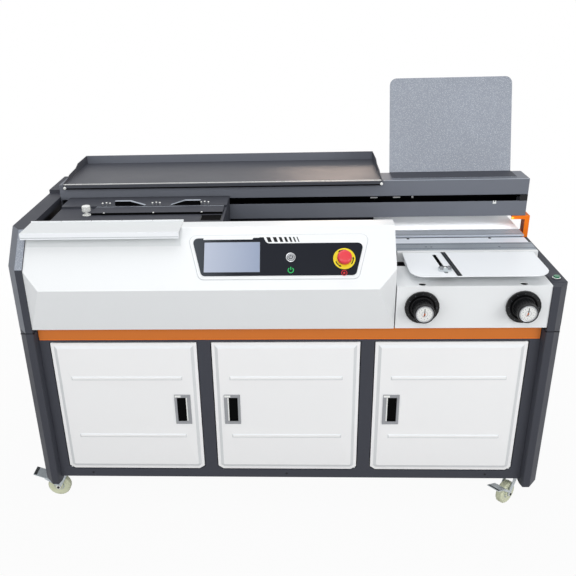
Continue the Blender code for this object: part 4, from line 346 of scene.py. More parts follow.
def block(bm, low, high, matrix=TO_ROW, bevel=0.0):
    """A block between two corners of the matrix's frame, edges rounded by bevel."""
    made = bmesh.new()
    middle = [(a + b) / 2 for a, b in zip(low, high)]
    size = [b - a for a, b in zip(low, high)]
    bmesh.ops.create_cube(made, size=1.0, matrix=Matrix.Translation(middle) @ Matrix.Diagonal((*size, 1)))
    if bevel:
        bmesh.ops.bevel(made, geom=made.edges[:], offset=bevel, offset_type="OFFSET", segments=2,
                        profile=0.5, affect="EDGES", clamp_overlap=True)
    bmesh.ops.transform(made, matrix=matrix, verts=made.verts)
    join(bm, made)


def join(bm, made):
    """Adds one bmesh's faces to another and frees it."""
    mesh = bpy.data.meshes.new("joined")
    made.to_mesh(mesh)
    made.free()
    bm.from_mesh(mesh)
    bpy.data.meshes.remove(mesh)


def bar(name, node, material, low, high, bevel=0.0):
    """One block on a node's body as a piece of its own, its edges rounded by bevel in mm."""
    bm = bmesh.new()
    block(bm, low, high, TO_ROW, bevel * MM)
    publish(name, bm, material, node)


def lone(make, name, node, material, *form):
    """A plate or a ring plate as a piece of its own."""
    bm = bmesh.new()
    make(bm, *form)
    publish(name, bm, material, node)


def turned(name, node, material, profile, place, steps=48, closed=False, **finish):
    """One turned body as a piece of its own."""
    bm = bmesh.new()
    lathe(bm, profile, place, steps, closed)
    return publish(name, bm, material, node, **finish)


def pin(bm, place, radius, low, high, steps=24):
    """A plain round pin along a frame's third axis, in mm."""
    lathe(bm, [(0, low), (radius, low), (radius, high), (0, high)], place, steps)


def plate(bm, outline, low, high, matrix):
    """A flat outline pushed from low to high, in mm, along the frame's third axis."""
    rings = [[bm.verts.new(matrix @ Vector((u, v, w * MM))) for u, v in outline] for w in (low, high)]
    count = len(outline)
    for i in range(count):
        j = (i + 1) % count
        bm.faces.new((rings[0][i], rings[0][j], rings[1][j], rings[1][i]))
    bm.faces.new(reversed(rings[0]))
    bm.faces.new(rings[1])


def ring_plate(bm, outer, inner, low, high, matrix):
    """The same with a hole: outer and inner outlines have the same number of points."""
    rings = [[bm.verts.new(matrix @ Vector((u, v, w * MM))) for u, v in outline]
             for outline, w in ((outer, low), (outer, high), (inner, high), (inner, low))]
    count = len(outer)
    for a, b in zip(rings, rings[1:] + rings[:1]):
        for i in range(count):
            j = (i + 1) % count
            bm.faces.new((a[i], a[j], b[j], b[i]))


def lathe(bm, profile, matrix, steps=48, closed=False):
    """A body turned about a frame's third axis from (radius, height) pairs in mm, a ring where closed."""
    rings = []
    for radius, height in mm(*profile):
        if radius < 1e-7:
            rings.append([bm.verts.new(matrix @ Vector((0, 0, height)))])
        else:
            rings.append([bm.verts.new(matrix @ Vector((radius * math.cos(math.tau * i / steps),
                                                        radius * math.sin(math.tau * i / steps), height)))
                          for i in range(steps)])
    pairs = list(zip(rings, rings[1:] + rings[:1])) if closed else list(zip(rings, rings[1:]))
    for a, b in pairs:
        for i in range(steps):
            j = (i + 1) % steps
            if len(a) == 1:
                bm.faces.new((a[0], b[i], b[j]))
            elif len(b) == 1:
                bm.faces.new((a[i], a[j], b[0]))
            else:
                bm.faces.new((a[i], a[j], b[j], b[i]))
    if closed:
        return
    for ring in (rings[0], rings[-1]):
        if len(ring) > 1:
            bm.faces.new(ring)


def circle(radius, steps=40):
    """Outline of a circle about the origin, radius in mm."""
    return mm(*[(radius * math.cos(math.tau * i / steps), radius * math.sin(math.tau * i / steps))
                for i in range(steps)])


def arc(inner, outer, start, sweep, steps=16):
    """Outline of a bent band about the origin, radii in mm, angles in degrees."""
    turns = [math.radians(start + sweep * i / steps) for i in range(steps + 1)]
    return mm(*[(outer * math.cos(t), outer * math.sin(t)) for t in turns],
              *[(inner * math.cos(t), inner * math.sin(t)) for t in reversed(turns)])


def oblong(centre, length, width):
    """Outline of a slot with round ends, long along the first axis."""
    x, y = centre
    reach, steps = (length - width) / 2, 10
    return [(x + side * reach + width / 2 * math.cos(angle), y + width / 2 * math.sin(angle))
            for side, first in ((1, -math.pi / 2), (-1, math.pi / 2))
            for angle in [first + math.pi * i / steps for i in range(steps + 1)]]


def rectangle(left, low, right, high):
    """Outline of an upright rectangle."""
    return [(left, low), (right, low), (right, high), (left, high)]


def hull(points):
    """The convex outline round flat points, counter-clockwise."""
    points = [tuple(p) for p in points]
    loop = [points[i] for i in geometry.convex_hull_2d(points)]
    turn = sum(a[0] * b[1] - b[0] * a[1] for a, b in zip(loop, loop[1:] + loop[:1]))
    return loop if turn > 0 else loop[::-1]


def shrunk(outline, distance):
    """A counter-clockwise convex outline moved inwards."""
    moved = []
    for i, here in enumerate(outline):
        before, after = outline[i - 1], outline[(i + 1) % len(outline)]
        normals = []
        for a, b in ((before, here), (here, after)):
            along = Vector((b[0] - a[0], b[1] - a[1])).normalized()
            normals.append(Vector((-along.y, along.x)))
        step = (normals[0] + normals[1]) * distance / (1 + normals[0].dot(normals[1]))
        moved.append((here[0] + step.x, here[1] + step.y))
    return moved


def facing(place, direction):
    """A frame at a place in machine coordinates, third axis along a direction."""
    turn = Vector((0, 0, 1)).rotation_difference(Vector(direction)).to_matrix().to_4x4()
    return TO_ROW @ Matrix.Translation(place) @ turn


def round_angles(count):
    """Even turns about the third axis, a whole round."""
    return [Matrix.Rotation(math.tau * i / count, 4, "Z") for i in range(count)]


def slope_spot(u, v):
    """A frame on the casing's slope, third axis out of it, with its origin on the bare slope."""
    return TO_SLOPE @ Matrix.Translation((u, v, 0))


def new_group(name, **inputs):
    """A node group with named inputs and one geometry output."""
    tree = bpy.data.node_groups.new(name, "GeometryNodeTree")
    tree.interface.new_socket("Geometry", in_out="OUTPUT", socket_type="NodeSocketGeometry")
    for title, kind in inputs.items():
        tree.interface.new_socket(title.replace("_", " "), in_out="INPUT", socket_type="NodeSocket" + kind)
    return tree, add(tree, "NodeGroupInput").outputs


def closed_group(tree, given, geometry):
    """The group with its copies realized, its material set and its output joined."""
    real = add(tree, "GeometryNodeRealizeInstances", {"Geometry": geometry})
    painted = add(tree, "GeometryNodeSetMaterial", {"Geometry": real, "Material": given["Material"]})
    add(tree, "NodeGroupOutput", {"Geometry": painted})
    return tree


def grown(name, group, material, node, matrix=TO_ROW, base=None, slot=None, **values):
    """Runs a node group, sets its named inputs by socket, and keeps the mesh as a finished piece."""
    holder = bpy.data.objects.new(name, base or bpy.data.meshes.new(name))
    bpy.context.scene.collection.objects.link(holder)
    modifier = holder.modifiers.new("growth", "NODES")
    modifier.node_group = group
    values["Material"] = M[material]
    for socket in group.interface.items_tree:
        title = socket.name.replace(" ", "_")
        if socket.in_out == "INPUT" and title in values:
            modifier[socket.identifier] = values[title]
    bpy.context.view_layer.update()
    graph = bpy.context.evaluated_depsgraph_get()
    mesh = bpy.data.meshes.new_from_object(holder.evaluated_get(graph))
    bpy.data.objects.remove(holder, do_unlink=True)
    mesh.name = name
    mesh.transform(matrix)
    return settle(name, mesh, material, node)


def tick_group(name, **inputs):
    """The start of a group of graduations: its index and each tick's stretch, every so many longer."""
    tree, given = new_group(name, Count="Int", Length="Float", Width="Float", Height="Float",
                            Long_Every="Int", Long_Share="Float", Material="Material", **inputs)
    index = add(tree, "GeometryNodeInputIndex")
    beat = add(tree, "ShaderNodeMath", (index, given["Long Every"]), operation="MODULO")
    is_long = add(tree, "ShaderNodeMath", (beat, 0.5), operation="LESS_THAN")
    more = add(tree, "ShaderNodeMath", (given["Long Share"], 1.0), operation="SUBTRACT")
    stretch = add(tree, "ShaderNodeMath", (is_long, more, 1.0), operation="MULTIPLY_ADD")
    return tree, given, index, stretch


def ticks(tree, given, place, stretch, **turn):
    """The end of it: blocks at the places, stretched along their length."""
    points = add(tree, "GeometryNodePoints", {"Count": given["Count"], "Position": place})
    size = add(tree, "ShaderNodeCombineXYZ", (given["Length"], given["Width"], given["Height"]))
    mark = add(tree, "GeometryNodeMeshCube", {"Size": size})
    scale = add(tree, "ShaderNodeCombineXYZ", (stretch, 1.0, 1.0))
    marks = add(tree, "GeometryNodeInstanceOnPoints",
                {"Points": points, "Instance": mark, "Scale": scale, **turn})
    return closed_group(tree, given, marks)


def tick_ring_group():
    """Graduations round an arc, the longer ones reaching further inwards."""
    tree, given, index, stretch = tick_group("tick ring", Radius="Float", Sweep="Float")
    share = add(tree, "ShaderNodeMath", (index, given["Count"]), operation="DIVIDE")
    turn = add(tree, "ShaderNodeMath", (share, given["Sweep"]), operation="MULTIPLY")
    more = add(tree, "ShaderNodeMath", (stretch, 1.0), operation="SUBTRACT")
    half = add(tree, "ShaderNodeMath", (given["Length"], 0.5), operation="MULTIPLY")
    inset = add(tree, "ShaderNodeMath", (more, half), operation="MULTIPLY")
    reach = add(tree, "ShaderNodeMath", (given["Radius"], inset), operation="SUBTRACT")
    along = add(tree, "ShaderNodeCombineXYZ", {"X": reach})
    place = add(tree, "ShaderNodeVectorRotate", {"Vector": along, "Angle": turn}, rotation_type="Z_AXIS")
    return ticks(tree, given, place, stretch, Rotation=add(tree, "ShaderNodeCombineXYZ", {"Z": turn}))


def tick_row_group():
    """Graduations along a line: the first at the origin, running along Y, ticks along X."""
    tree, given, index, stretch = tick_group("tick row", Pitch="Float")
    length = add(tree, "ShaderNodeMath", (stretch, given["Length"]), operation="MULTIPLY")
    middle = add(tree, "ShaderNodeMath", (length, 0.5), operation="MULTIPLY")
    along = add(tree, "ShaderNodeMath", (index, given["Pitch"]), operation="MULTIPLY")
    place = add(tree, "ShaderNodeCombineXYZ", (middle, along))
    return ticks(tree, given, place, stretch)


def copies_group():
    """One form set at every point of the base mesh, turned by the point's own angles."""
    tree, given = new_group("copies", Form="Object", Material="Material")
    base = tree.interface.new_socket("Base", in_out="INPUT", socket_type="NodeSocketGeometry")
    tree.interface.move(base, 1)
    form = add(tree, "GeometryNodeObjectInfo", {"Object": given["Form"]}).outputs["Geometry"]
    turn = add(tree, "GeometryNodeInputNamedAttribute", {"Name": "turn"}, data_type="FLOAT_VECTOR")
    copies = add(tree, "GeometryNodeInstanceOnPoints", {"Points": given["Base"], "Instance": form,
                                                        "Rotation": turn.outputs["Attribute"]})
    return closed_group(tree, given, copies)


def grip_group():
    """A turned grip along Z with round flutes that fade out at both ends."""
    tree, given = new_group("fluted grip", Root_Radius="Float", End_Radius="Float", Length="Float",
                            Flutes="Int", Depth="Float", Material="Material")
    around = add(tree, "ShaderNodeMath", (given["Flutes"], 8.0), operation="MULTIPLY")
    body = add(tree, "GeometryNodeMeshCylinder", {"Vertices": around, "Depth": given["Length"]},
               Side_Segments=14, Fill_Segments=1, Radius=1.0)
    here = add(tree, "GeometryNodeInputPosition")
    place = add(tree, "ShaderNodeSeparateXYZ", {"Vector": here}).outputs
    turn = add(tree, "ShaderNodeMath", (place["Y"], place["X"]), operation="ARCTAN2")
    height = add(tree, "ShaderNodeMath", (place["Z"], given["Length"]), operation="DIVIDE")
    rise = add(tree, "ShaderNodeMath", (height, 0.5), operation="ADD")
    # Flutes go round as a cosine between 0 and 1, and fade within a seventh of the length
    turns = add(tree, "ShaderNodeMath", (turn, given["Flutes"]), operation="MULTIPLY")
    crest = add(tree, "ShaderNodeMath", (turns,), operation="COSINE")
    wave = add(tree, "ShaderNodeMath", (crest, 0.5, 0.5), operation="MULTIPLY_ADD")
    fall = add(tree, "ShaderNodeMath", (1.0, rise), operation="SUBTRACT")
    edge = add(tree, "ShaderNodeMath", (rise, fall), operation="MINIMUM")
    steep = add(tree, "ShaderNodeMath", (edge, 7.0), operation="MULTIPLY")
    fade = add(tree, "ShaderNodeMath", (steep, 1.0), operation="MINIMUM")
    faded_wave = add(tree, "ShaderNodeMath", (wave, fade), operation="MULTIPLY")
    cut = add(tree, "ShaderNodeMath", (faded_wave, given["Depth"]), operation="MULTIPLY")
    taper = add(tree, "ShaderNodeMapRange",
                {"Value": rise, "To Min": given["Root Radius"], "To Max": given["End Radius"]})
    reach = add(tree, "ShaderNodeMath", (taper, cut), operation="SUBTRACT")
    level = add(tree, "ShaderNodeMath", (rise, given["Length"]), operation="MULTIPLY")
    along = add(tree, "ShaderNodeCombineXYZ", {"X": reach, "Z": level})
    moved = add(tree, "ShaderNodeVectorRotate", {"Vector": along, "Angle": turn}, rotation_type="Z_AXIS")
    shaped = add(tree, "GeometryNodeSetPosition", {"Geometry": body, "Position": moved})
    return closed_group(tree, given, shaped)


TICK_RING = tick_ring_group()
TICK_ROW = tick_row_group()
COPIES = copies_group()
GRIP = grip_group()


def screw_form(name, radius, height):
    """A pan head with a hexagon socket, base at the origin, as an object to copy."""
    bm = bmesh.new()
    steps, sixth = 24, math.pi / 3
    rings = []
    # Shares of the radius and of the height, and whether the ring is a hexagon
    for size, level, hexed in ((1, 0, 0), (1, 0.55, 0), (0.86, 0.9, 0), (0.68, 1, 0), (0.5, 1, 1),
                               (0.5, 0.4, 1)):
        ring = []
        for i in range(steps):
            angle = math.tau * i / steps
            flat = math.cos(sixth / 2) / math.cos(angle % sixth - sixth / 2) if hexed else 1
            reach = radius * size * flat
            ring.append(bm.verts.new((reach * math.cos(angle), reach * math.sin(angle), height * level)))
        rings.append(ring)
    for a, b in zip(rings, rings[1:]):
        for i in range(steps):
            j = (i + 1) % steps
            bm.faces.new((a[i], a[j], b[j], b[i]))
    bm.faces.new(reversed(rings[0]))
    bm.faces.new(rings[-1])
    return form_object(name, bm)


def form_object(name, bm):
    """A form kept only while its copies are made."""
    bmesh.ops.recalc_face_normals(bm, faces=bm.faces)
    mesh = bpy.data.meshes.new(name)
    bm.to_mesh(mesh)
    bm.free()
    form = bpy.data.objects.new(name, mesh)
    bpy.context.scene.collection.objects.link(form)
    return form


def copy_form(name, form, spots, material, node, slot):
    """Copies of a form at (place, direction) pairs in machine coordinates, as one piece."""
    base = bpy.data.meshes.new(name)
    base.from_pydata([place for place, _ in spots], [], [])
    turns = base.attributes.new("turn", "FLOAT_VECTOR", "POINT")
    spin = random.Random(name)
    for entry, (_, direction) in zip(turns.data, spots):
        aim = Vector((0, 0, 1)).rotation_difference(Vector(direction)).to_matrix().to_4x4()
        entry.vector = (aim @ Matrix.Rotation(spin.uniform(0, math.pi), 4, "Z")).to_euler()
    grown(name, COPIES, material, node, TO_ROW, base, slot, Form=form)
    bpy.data.objects.remove(form, do_unlink=True)


def screws(name, node, spots, radius=3.0, height=1.6, material="zinc"):
    """Screw heads at (place, direction) pairs, one piece; sizes in mm."""
    form = screw_form(name + "_form", radius * MM, height * MM)
    copy_form(name, form, spots, material, node, "zinc" if material == "zinc" else None)


FRONT, BACK, LEFT, UP = (0, -1, 0), (0, 1, 0), (-1, 0, 0), (0, 0, 1)
CORNERS = ("front_left", "front_right", "rear_left", "rear_right")
# Plain CAD forms with rounded edges: bevel in mm, another finish where the slot's isn't enough, and the nodes
PLAIN = (
    (2.0, None, "side_lower_left side_lower_right side_upper_right"),
    (1.6, None, "front_casing"),
    (1.4, None, "wing_cover beam_cover"),
    (1.2, None, "nip_base"),
    (1.0, "cast_iron", "milling_motor"),
    (0.8, None, "front_frame clamp_carriage clamp_jaw nip_carrier"),
    # The guide rail in matt black: painted shade deep inside the beam's slot
    (0.8, "black_joint_and_shade", "guide_rail"),
    (0.8, "bracket_paint", "guard_bracket"),
    (0.8, "bright_metal", "stop_knob"),
    (0.8, "door_enamel", "door_left door_middle door_right"),
    (0.7, "lid_paint", "front_lid"),
    (0.7, "sheet_enamel", "cover_table"),
    (0.6, None, "orange_trim glue_tank start_button knob_base_left knob_base_right"),
    (0.6, None, " ".join("caster_wheel_" + corner for corner in CORNERS)),
    (0.6, "caster_zinc", "side_stop " + " ".join("caster_fork_" + corner for corner in CORNERS)),
    (0.6, "dark_steel", "nip_plate_front"),
    (0.6, "dull_steel", "nip_plate_rear"),
    (0.5, None, "side_upper_left cabinet_floor machine_bed mains_inlet spine_plate rear_cover glue_roller"),
    (0.5, "sheet_enamel", "rear_sheet"),
    (0.5, "tray_paint", "tray"),
    (0.5, "board_paint", "backboard"),
    (0.5, "nickel", "door_pull_left door_pull_middle door_pull_right power_button milling_cutter"),
    (0.5, "caster_zinc", "brake_pedal_front_left brake_pedal_front_right"),
    (0.4, None, "cabinet_back"),
    (0.25, None, "control_panel"),
    (0.2, "black_plastic", "guide_strip"),
    (0.15, None, "touch_screen"),
)
for bevel, finish, nodes in PLAIN:
    for node in nodes.split():
        dress(node, bevel, finish)


def numerals(name, node, radius, size, place, material):
    """The numbers 0 to 9 set round a dial, as thin solids on the frame's face."""
    bm = bmesh.new()
    for i in range(10):
        curve = bpy.data.curves.new(name, "FONT")
        curve.body = str(i)
        curve.size = size
        curve.extrude = 0.05 * MM
        curve.align_x = "CENTER"
        curve.align_y = "CENTER"
        curve.resolution_u = 3
        holder = bpy.data.objects.new(name, curve)
        bpy.context.scene.collection.objects.link(holder)
        bpy.context.view_layer.update()
        mesh = bpy.data.meshes.new_from_object(holder.evaluated_get(bpy.context.evaluated_depsgraph_get()))
        bpy.data.objects.remove(holder, do_unlink=True)
        angle = math.radians(90 - 36 * i)
        mesh.transform(place @ Matrix.Translation((radius * math.cos(angle), radius * math.sin(angle), 0))
                       @ Matrix.Rotation(angle - math.pi / 2, 4, "Z"))
        bm.from_mesh(mesh)
        bpy.data.meshes.remove(mesh)
    bmesh.ops.remove_doubles(bm, verts=bm.verts, dist=0.001 * MM)
    publish(name, bm, material, node, weighted=False)


def make_dial_knob(side):
    """A fluted hand knob with a graduated dial in its face, over a graduated flange."""
    node, base = "knob_" + side, "knob_base_" + side
    low, high = span(node)
    flange_y = span(base)[0].y
    x, z = (low.x + high.x) / 2, (low.z + high.z) / 2
    root = flange_y - 0.3 * MM
    # Heights over the root, in mm
    length, back = (root - low.y) / MM, (root - high.y) / MM
    face = length - 1.1
    place = facing((x, root, z), FRONT)
    cap = grown(node + "_grip", GRIP, "black_plastic", node, place @ Matrix.Translation((0, 0, 3 * MM)),
                slot=SLOT_OF[node], Root_Radius=30.2 * MM, End_Radius=28.4 * MM, Length=(length - 11) * MM,
                Flutes=24, Depth=1.3 * MM)
    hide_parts(node)
    bm = bmesh.new()
    lathe(bm, [(0, 0), (31, 0), (31, 2.8), (30.2, 3.6), (0, 3.6)], place, 96)
    lathe(bm, [(0, length - 9.5), (28.4, length - 9.5), (28.5, length - 2.4), (27.6, length - 0.4),
               (26.6, length), (24.4, length), (23.3, length - 1.4), (0, length - 1.4)], place, 96)
    publish(node + "_collar_and_bezel", bm, "black_plastic", node)
    turned(node + "_shaft", node, "zinc", [(0, back), (6, back), (6, 0), (0, 0)], place, 32)
    turned(node + "_dial", node, "dial_enamel",
           [(0, face - 0.5), (22.9, face - 0.5), (22.9, face), (0, face)], place, 72)
    turned(node + "_dial_rim", node, "nickel",
           [(22.9, face - 0.4), (24.3, length - 0.3), (23.9, length - 0.05), (21.6, face + 0.25)],
           place, 72, closed=True)
    lone(ring_plate, node + "_dial_circle", node, "black_ink", circle(8.3), circle(7.8), face - 0.1,
         face + 0.06, place)
    on_dial = place @ Matrix.Translation((0, 0, (face + 0.04) * MM))
    grown(node + "_dial_ticks", TICK_RING, "black_ink", node, on_dial, Count=50, Radius=20.8 * MM,
          Length=2.8 * MM, Width=0.5 * MM, Height=0.12 * MM, Long_Every=5, Long_Share=1.7, Sweep=math.tau)
    numerals(node + "_dial_numbers", node, 15.2 * MM, 4.2 * MM, on_dial, "black_ink")
    # The hands stand as photographed
    turn = 91 if side == "left" else 86
    hand = on_dial @ Matrix.Rotation(math.radians(turn - 90), 4, "Z")
    lone(plate, node + "_hand", node, "black_ink", mm((-1.6, -6), (1.6, -6), (0.7, 16.5), (-0.7, 16.5)),
         0.1, 0.4, hand)
    bm = bmesh.new()
    plate(bm, mm((-0.8, 0), (0.8, 0), (0.3, 10), (-0.3, 10)), 0.1, 0.3,
          hand @ Matrix.Rotation(math.radians(152), 4, "Z"))
    lathe(bm, [(0, 0), (2.4, 0), (2.4, 0.7), (1.7, 0.95), (0, 0.95)], on_dial, 24)
    publish(node + "_hub", bm, "orange_ink", node)
    flange = facing((x, flange_y, z), FRONT)
    grown(node + "_flange_ticks", TICK_RING, "beam_paint", base, flange, Count=12, Radius=41.5 * MM,
          Length=3.4 * MM, Width=0.7 * MM, Height=0.2 * MM, Long_Every=5, Long_Share=2.0, Sweep=math.tau)
    bm = bmesh.new()
    for inner, outer in ((45.2, 46.6), (37.6, 38.4)):
        lathe(bm, [(inner, -0.3), (outer, -0.3), (outer, 0.5), (inner, 0.5)], flange, 96, closed=True)
    publish(node + "_flange_rims", bm, "black_plastic", base)
    # A black ring as painted shade in the flange's groove
    lone(ring_plate, node + "_flange_groove", base, "black_joint_and_shade", circle(37.4, 72), circle(32.4, 72), -0.3,
         0.12, flange)


def arrow(bm, shaft, head, start, sweep, levels, place):
    """A bent arrow: radii of its shaft and head and its levels in mm, angles in degrees."""
    plate(bm, arc(*shaft, start, sweep), *levels, place)
    heel = math.radians(start + sweep)
    spots = ((head[0], heel), (head[1], heel), (sum(head) / 2, heel + math.radians(14)))
    plate(bm, mm(*[(radius * math.cos(angle), radius * math.sin(angle)) for radius, angle in spots]),
          *levels, place)


def make_panel_details():
    """Stop button, mains button, their icons, the screen's bezel line and the slanted bars."""
    stop_u, stop_v = 0.1643, 0.0868
    power_u, power_v = 0.0177, 0.0918
    printed = (FILM_TOP - 0.05, FILM_TOP + 0.08)
    laid = (FILM_TOP - 0.3, FILM_TOP + 0.12)
    panel, button = "control_panel", "estop_button"
    stop = slope_spot(stop_u, stop_v)
    cap = turned("stop_cap", button, "red_plastic",
                 [(0, -25), (11, -25), (11, 12.3), (19.2, 12.3), (20, 13.1), (20, 20.6), (19.5, 22.8),
                  (18.2, 24.6), (16.0, 26.1), (13.4, 26.9), (0, 27.3)],
                 stop, 64, slot=SLOT_OF[button], smooth=50)
    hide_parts(button)
    bm = bmesh.new()
    for start in (20, 140, 260):
        arrow(bm, (9.2, 11.0), (7.9, 12.3), start, 62, (26.6, 27.25), stop)
    publish("stop_cap_arrows", bm, "red_plastic", button)
    turned("stop_disc", panel, "yellow_plastic",
           [(12.2, FILM_TOP), (30.3, FILM_TOP), (30.3, 6.3), (29.3, 7.0), (12.2, 7.2)], stop, 96, closed=True)
    bm = bmesh.new()
    for start in (200, 320, 80):
        arrow(bm, (23.2, 26.0), (21.4, 27.8), start, 38, (6.8, 7.25), stop)
    publish("stop_disc_arrows", bm, "black_ink", panel)
    power = slope_spot(power_u, power_v)
    turned("mains_button_ring", panel, "chrome",
           [(10.1, FILM_TOP), (14.0, FILM_TOP), (14.0, 6.6), (13.2, 7.8), (11.2, 8.0), (10.1, 7.2)],
           power, 64, closed=True)
    lone(ring_plate, "mains_button_gap", panel, "black_joint_and_shade", circle(11.0), circle(9.5), FILM_TOP,
         FILM_TOP + 0.4, power)
    bm = bmesh.new()
    plate(bm, arc(4.2, 6.0, -235, 290, 24), 9.2, 9.4, power)
    block(bm, *mm((-0.95, 1.2, 9.2), (0.95, 6.8, 9.4)), power)
    publish("mains_button_mark", bm, "black_ink", "power_button")
    icon = slope_spot(power_u, power_v - 0.0365)
    bm = bmesh.new()
    plate(bm, arc(6.0, 8.6, -235, 290, 28), *printed, icon)
    block(bm, *mm((-1.3, 1.0, printed[0]), (1.3, 9.6, printed[1])), icon)
    publish("mains_icon", bm, "green_ink", panel)
    icon = slope_spot(stop_u - 0.001, stop_v - 0.0405)
    bm = bmesh.new()
    ring_plate(bm, circle(8.2), circle(6.4), *printed, icon)
    plate(bm, circle(3.2, 24), *printed, icon)
    publish("stop_icon", bm, "red_ink", panel)
    # Eight slanted bars, each narrower than the one before
    bm = bmesh.new()
    left, lean, low, high = -0.0640, 5.5 * MM, 0.1385, 0.1530
    for i in range(8):
        width = (12.0 - 1.3 * i) * MM
        plate(bm, [(left, low), (left + width, low), (left + width - lean, high), (left - lean, high)],
              2.4, 2.62, TO_SLOPE)
        left += width + (7.4 - 0.25 * i) * MM
    publish("surround_bars", bm, "black_ink", "front_casing")
    lone(ring_plate, "screen_gasket", panel, "black_plastic",
         rectangle(SCREEN_LEFT - 1.2 * MM, 0.0488, SCREEN_RIGHT + 1.2 * MM, 0.1400),
         rectangle(SCREEN_LEFT + 0.6 * MM, 0.0506, SCREEN_RIGHT - 0.6 * MM, 0.1382), *laid, TO_SLOPE)
    lone(plate, "film_top_margin", panel, "white_paint",
         [(-0.2255, 0.1462), (-0.089, 0.1462), (-0.085, 0.1515), (-0.2255, 0.1515)], *laid, TO_SLOPE)


def make_pulls():
    """The matt black pocket behind each door pull's slot as painted shade, and bright metal strips as painted
    highlights on the slot's side and along the pull's top edge.
    """
    for side in ("left", "middle", "right"):
        pull = "door_pull_" + side
        lean = 1 if side == "left" else -1
        slot = -2.6 * lean
        # A matt black pocket as painted shade behind the slot
        bar("door_pull_lining_" + side, pull, "black_joint_and_shade",
            at(pull, "mlm", slot - 12.6, 3.2, -41.6), at(pull, "mhm", slot + 12.6, -1.9, 41.6))
        # Bright metal strips as painted highlights: one on the slot's side, one along the pull's top edge
        near, far = sorted((slot + lean * 12.8, slot + lean * 17.6))
        bm = bmesh.new()
        block(bm, at(pull, "mlm", near, 0.9, -41.6), at(pull, "mlm", far, 1.9, 41.6), bevel=0.3 * MM)
        block(bm, at(pull, "llh", 1.5, -0.2, -8.5), at(pull, "llh", 20, 0.8, -1.5), bevel=0.3 * MM)
        publish("door_pull_lip_" + side, bm, "bright_metal", pull)


def make_clamp_details():
    """Studs, screws, a painted highlight along the jaw's seam, thumb knob and window of the clamp, the
    window's inside painted black as shade.
    """
    clamp = "clamp_carriage"
    rear_top = span("clamp_carriage")[1].z - 0.014
    handles = ((-0.5567, 0.2905), (-0.3995, 0.2905), (-0.2479, 0.2925))
    studs = [(x + dx, y + dy) for x, y in handles for dx, dy in mm((-13, 0), (-2, 5), (10, 0))]
    stud_top = rear_top + 7 * MM
    screws("clamp_studs", clamp, [((x, y, stud_top), UP) for x, y in studs], 3.0, 2.4, "bright_metal")
    bm = bmesh.new()
    for x, y in studs:
        pin(bm, facing((x, y, rear_top), UP), 1.7, -1, 7.2, 16)
        pin(bm, facing((x, y, rear_top), UP), 3.6, -1, 2.2, 6)
    publish("clamp_stud_nuts", bm, "nickel", clamp)
    jaw_top = span("clamp_jaw")[1].z
    screws("clamp_jaw_screws", "clamp_jaw",
           [((x, 0.2125, jaw_top), UP) for x in (-0.5478, -0.3968, -0.2500)], 3.0, 1.6, "bright_metal")
    # A bright strip along the jaw's seam: painted highlight
    bar("clamp_jaw_seam", "clamp_jaw", "dull_steel",
        at("clamp_jaw", "lhh", 2, -2.4, -1.0), at("clamp_jaw", "hhh", -2, -0.4, 0.3), 0.25)
    deck = 0.9230
    knob_x, knob_y, _ = at("stop_knob", "mml", 0, 0, 0)
    turned("stop_knob_washer", clamp, "bright_metal",
           [(5.4, -0.4), (13.5, -0.4), (13.5, 1.4), (12.6, 2.0), (5.4, 2.0)],
           facing((knob_x, knob_y, deck), UP), closed=True)
    bm = bmesh.new()
    axis = TO_ROW @ Matrix.Translation((knob_x, knob_y, 0))
    for turn in round_angles(36):
        block(bm, *mm((-0.4, 12.2, 936.5), (0.4, 12.85, 950.5)), axis @ turn)
    publish("stop_knob_knurl", bm, "bright_metal", "stop_knob", weighted=False)
    window = rectangle(-0.250, 0.150, -0.186, 0.206)
    on_deck = facing((0, 0, deck), UP)
    lone(ring_plate, "deck_window_frame", clamp, "black_steel", window, shrunk(window, 3 * MM), -0.5, 0.25,
         on_deck)
    # The window's inside painted black as shade
    lone(plate, "deck_window", clamp, "black_joint_and_shade", shrunk(window, 2.5 * MM), -0.5, 0.12, on_deck)


def make_nip_details():
    """Screws of the nipping plates, and black strips and discs as painted shade in their fine grooves and the
    spine plate's holes.
    """
    top = span("nip_plate_front")[1].z - 1.0 * MM
    screws("nip_screws", "nip_plate_front",
           [((x, y, top), UP) for x, y in ((0.4267, 0.216), (0.4434, 0.2155), (0.6455, 0.2124))],
           3.6, 1.15, "black_steel")
    # Black strips as painted shade in the plates' fine grooves
    for node, lines in (("nip_plate_front", (0.2010, 0.2385)), ("nip_plate_rear", (0.3290, 0.3650))):
        (left, _, _), (right, _, top) = at(node, "llh", 1, 0, 0), at(node, "hlh", -1, 0, 0)
        bm = bmesh.new()
        for y in lines:
            block(bm, (left, y - 0.8 * MM, top - 0.6 * MM), (right, y + 0.8 * MM, top + 0.1 * MM))
        publish(node + "_lines", bm, "black_joint_and_shade", node)
    # Black discs as painted shade in the spine plate's holes
    bm = bmesh.new()
    for x in (0.387, 0.6413):
        pin(bm, facing((x, 0.3078, span("spine_plate")[1].z), UP), 4.8, -1, 0.12)
    publish("spine_bar_holes", bm, "black_joint_and_shade", "spine_plate")


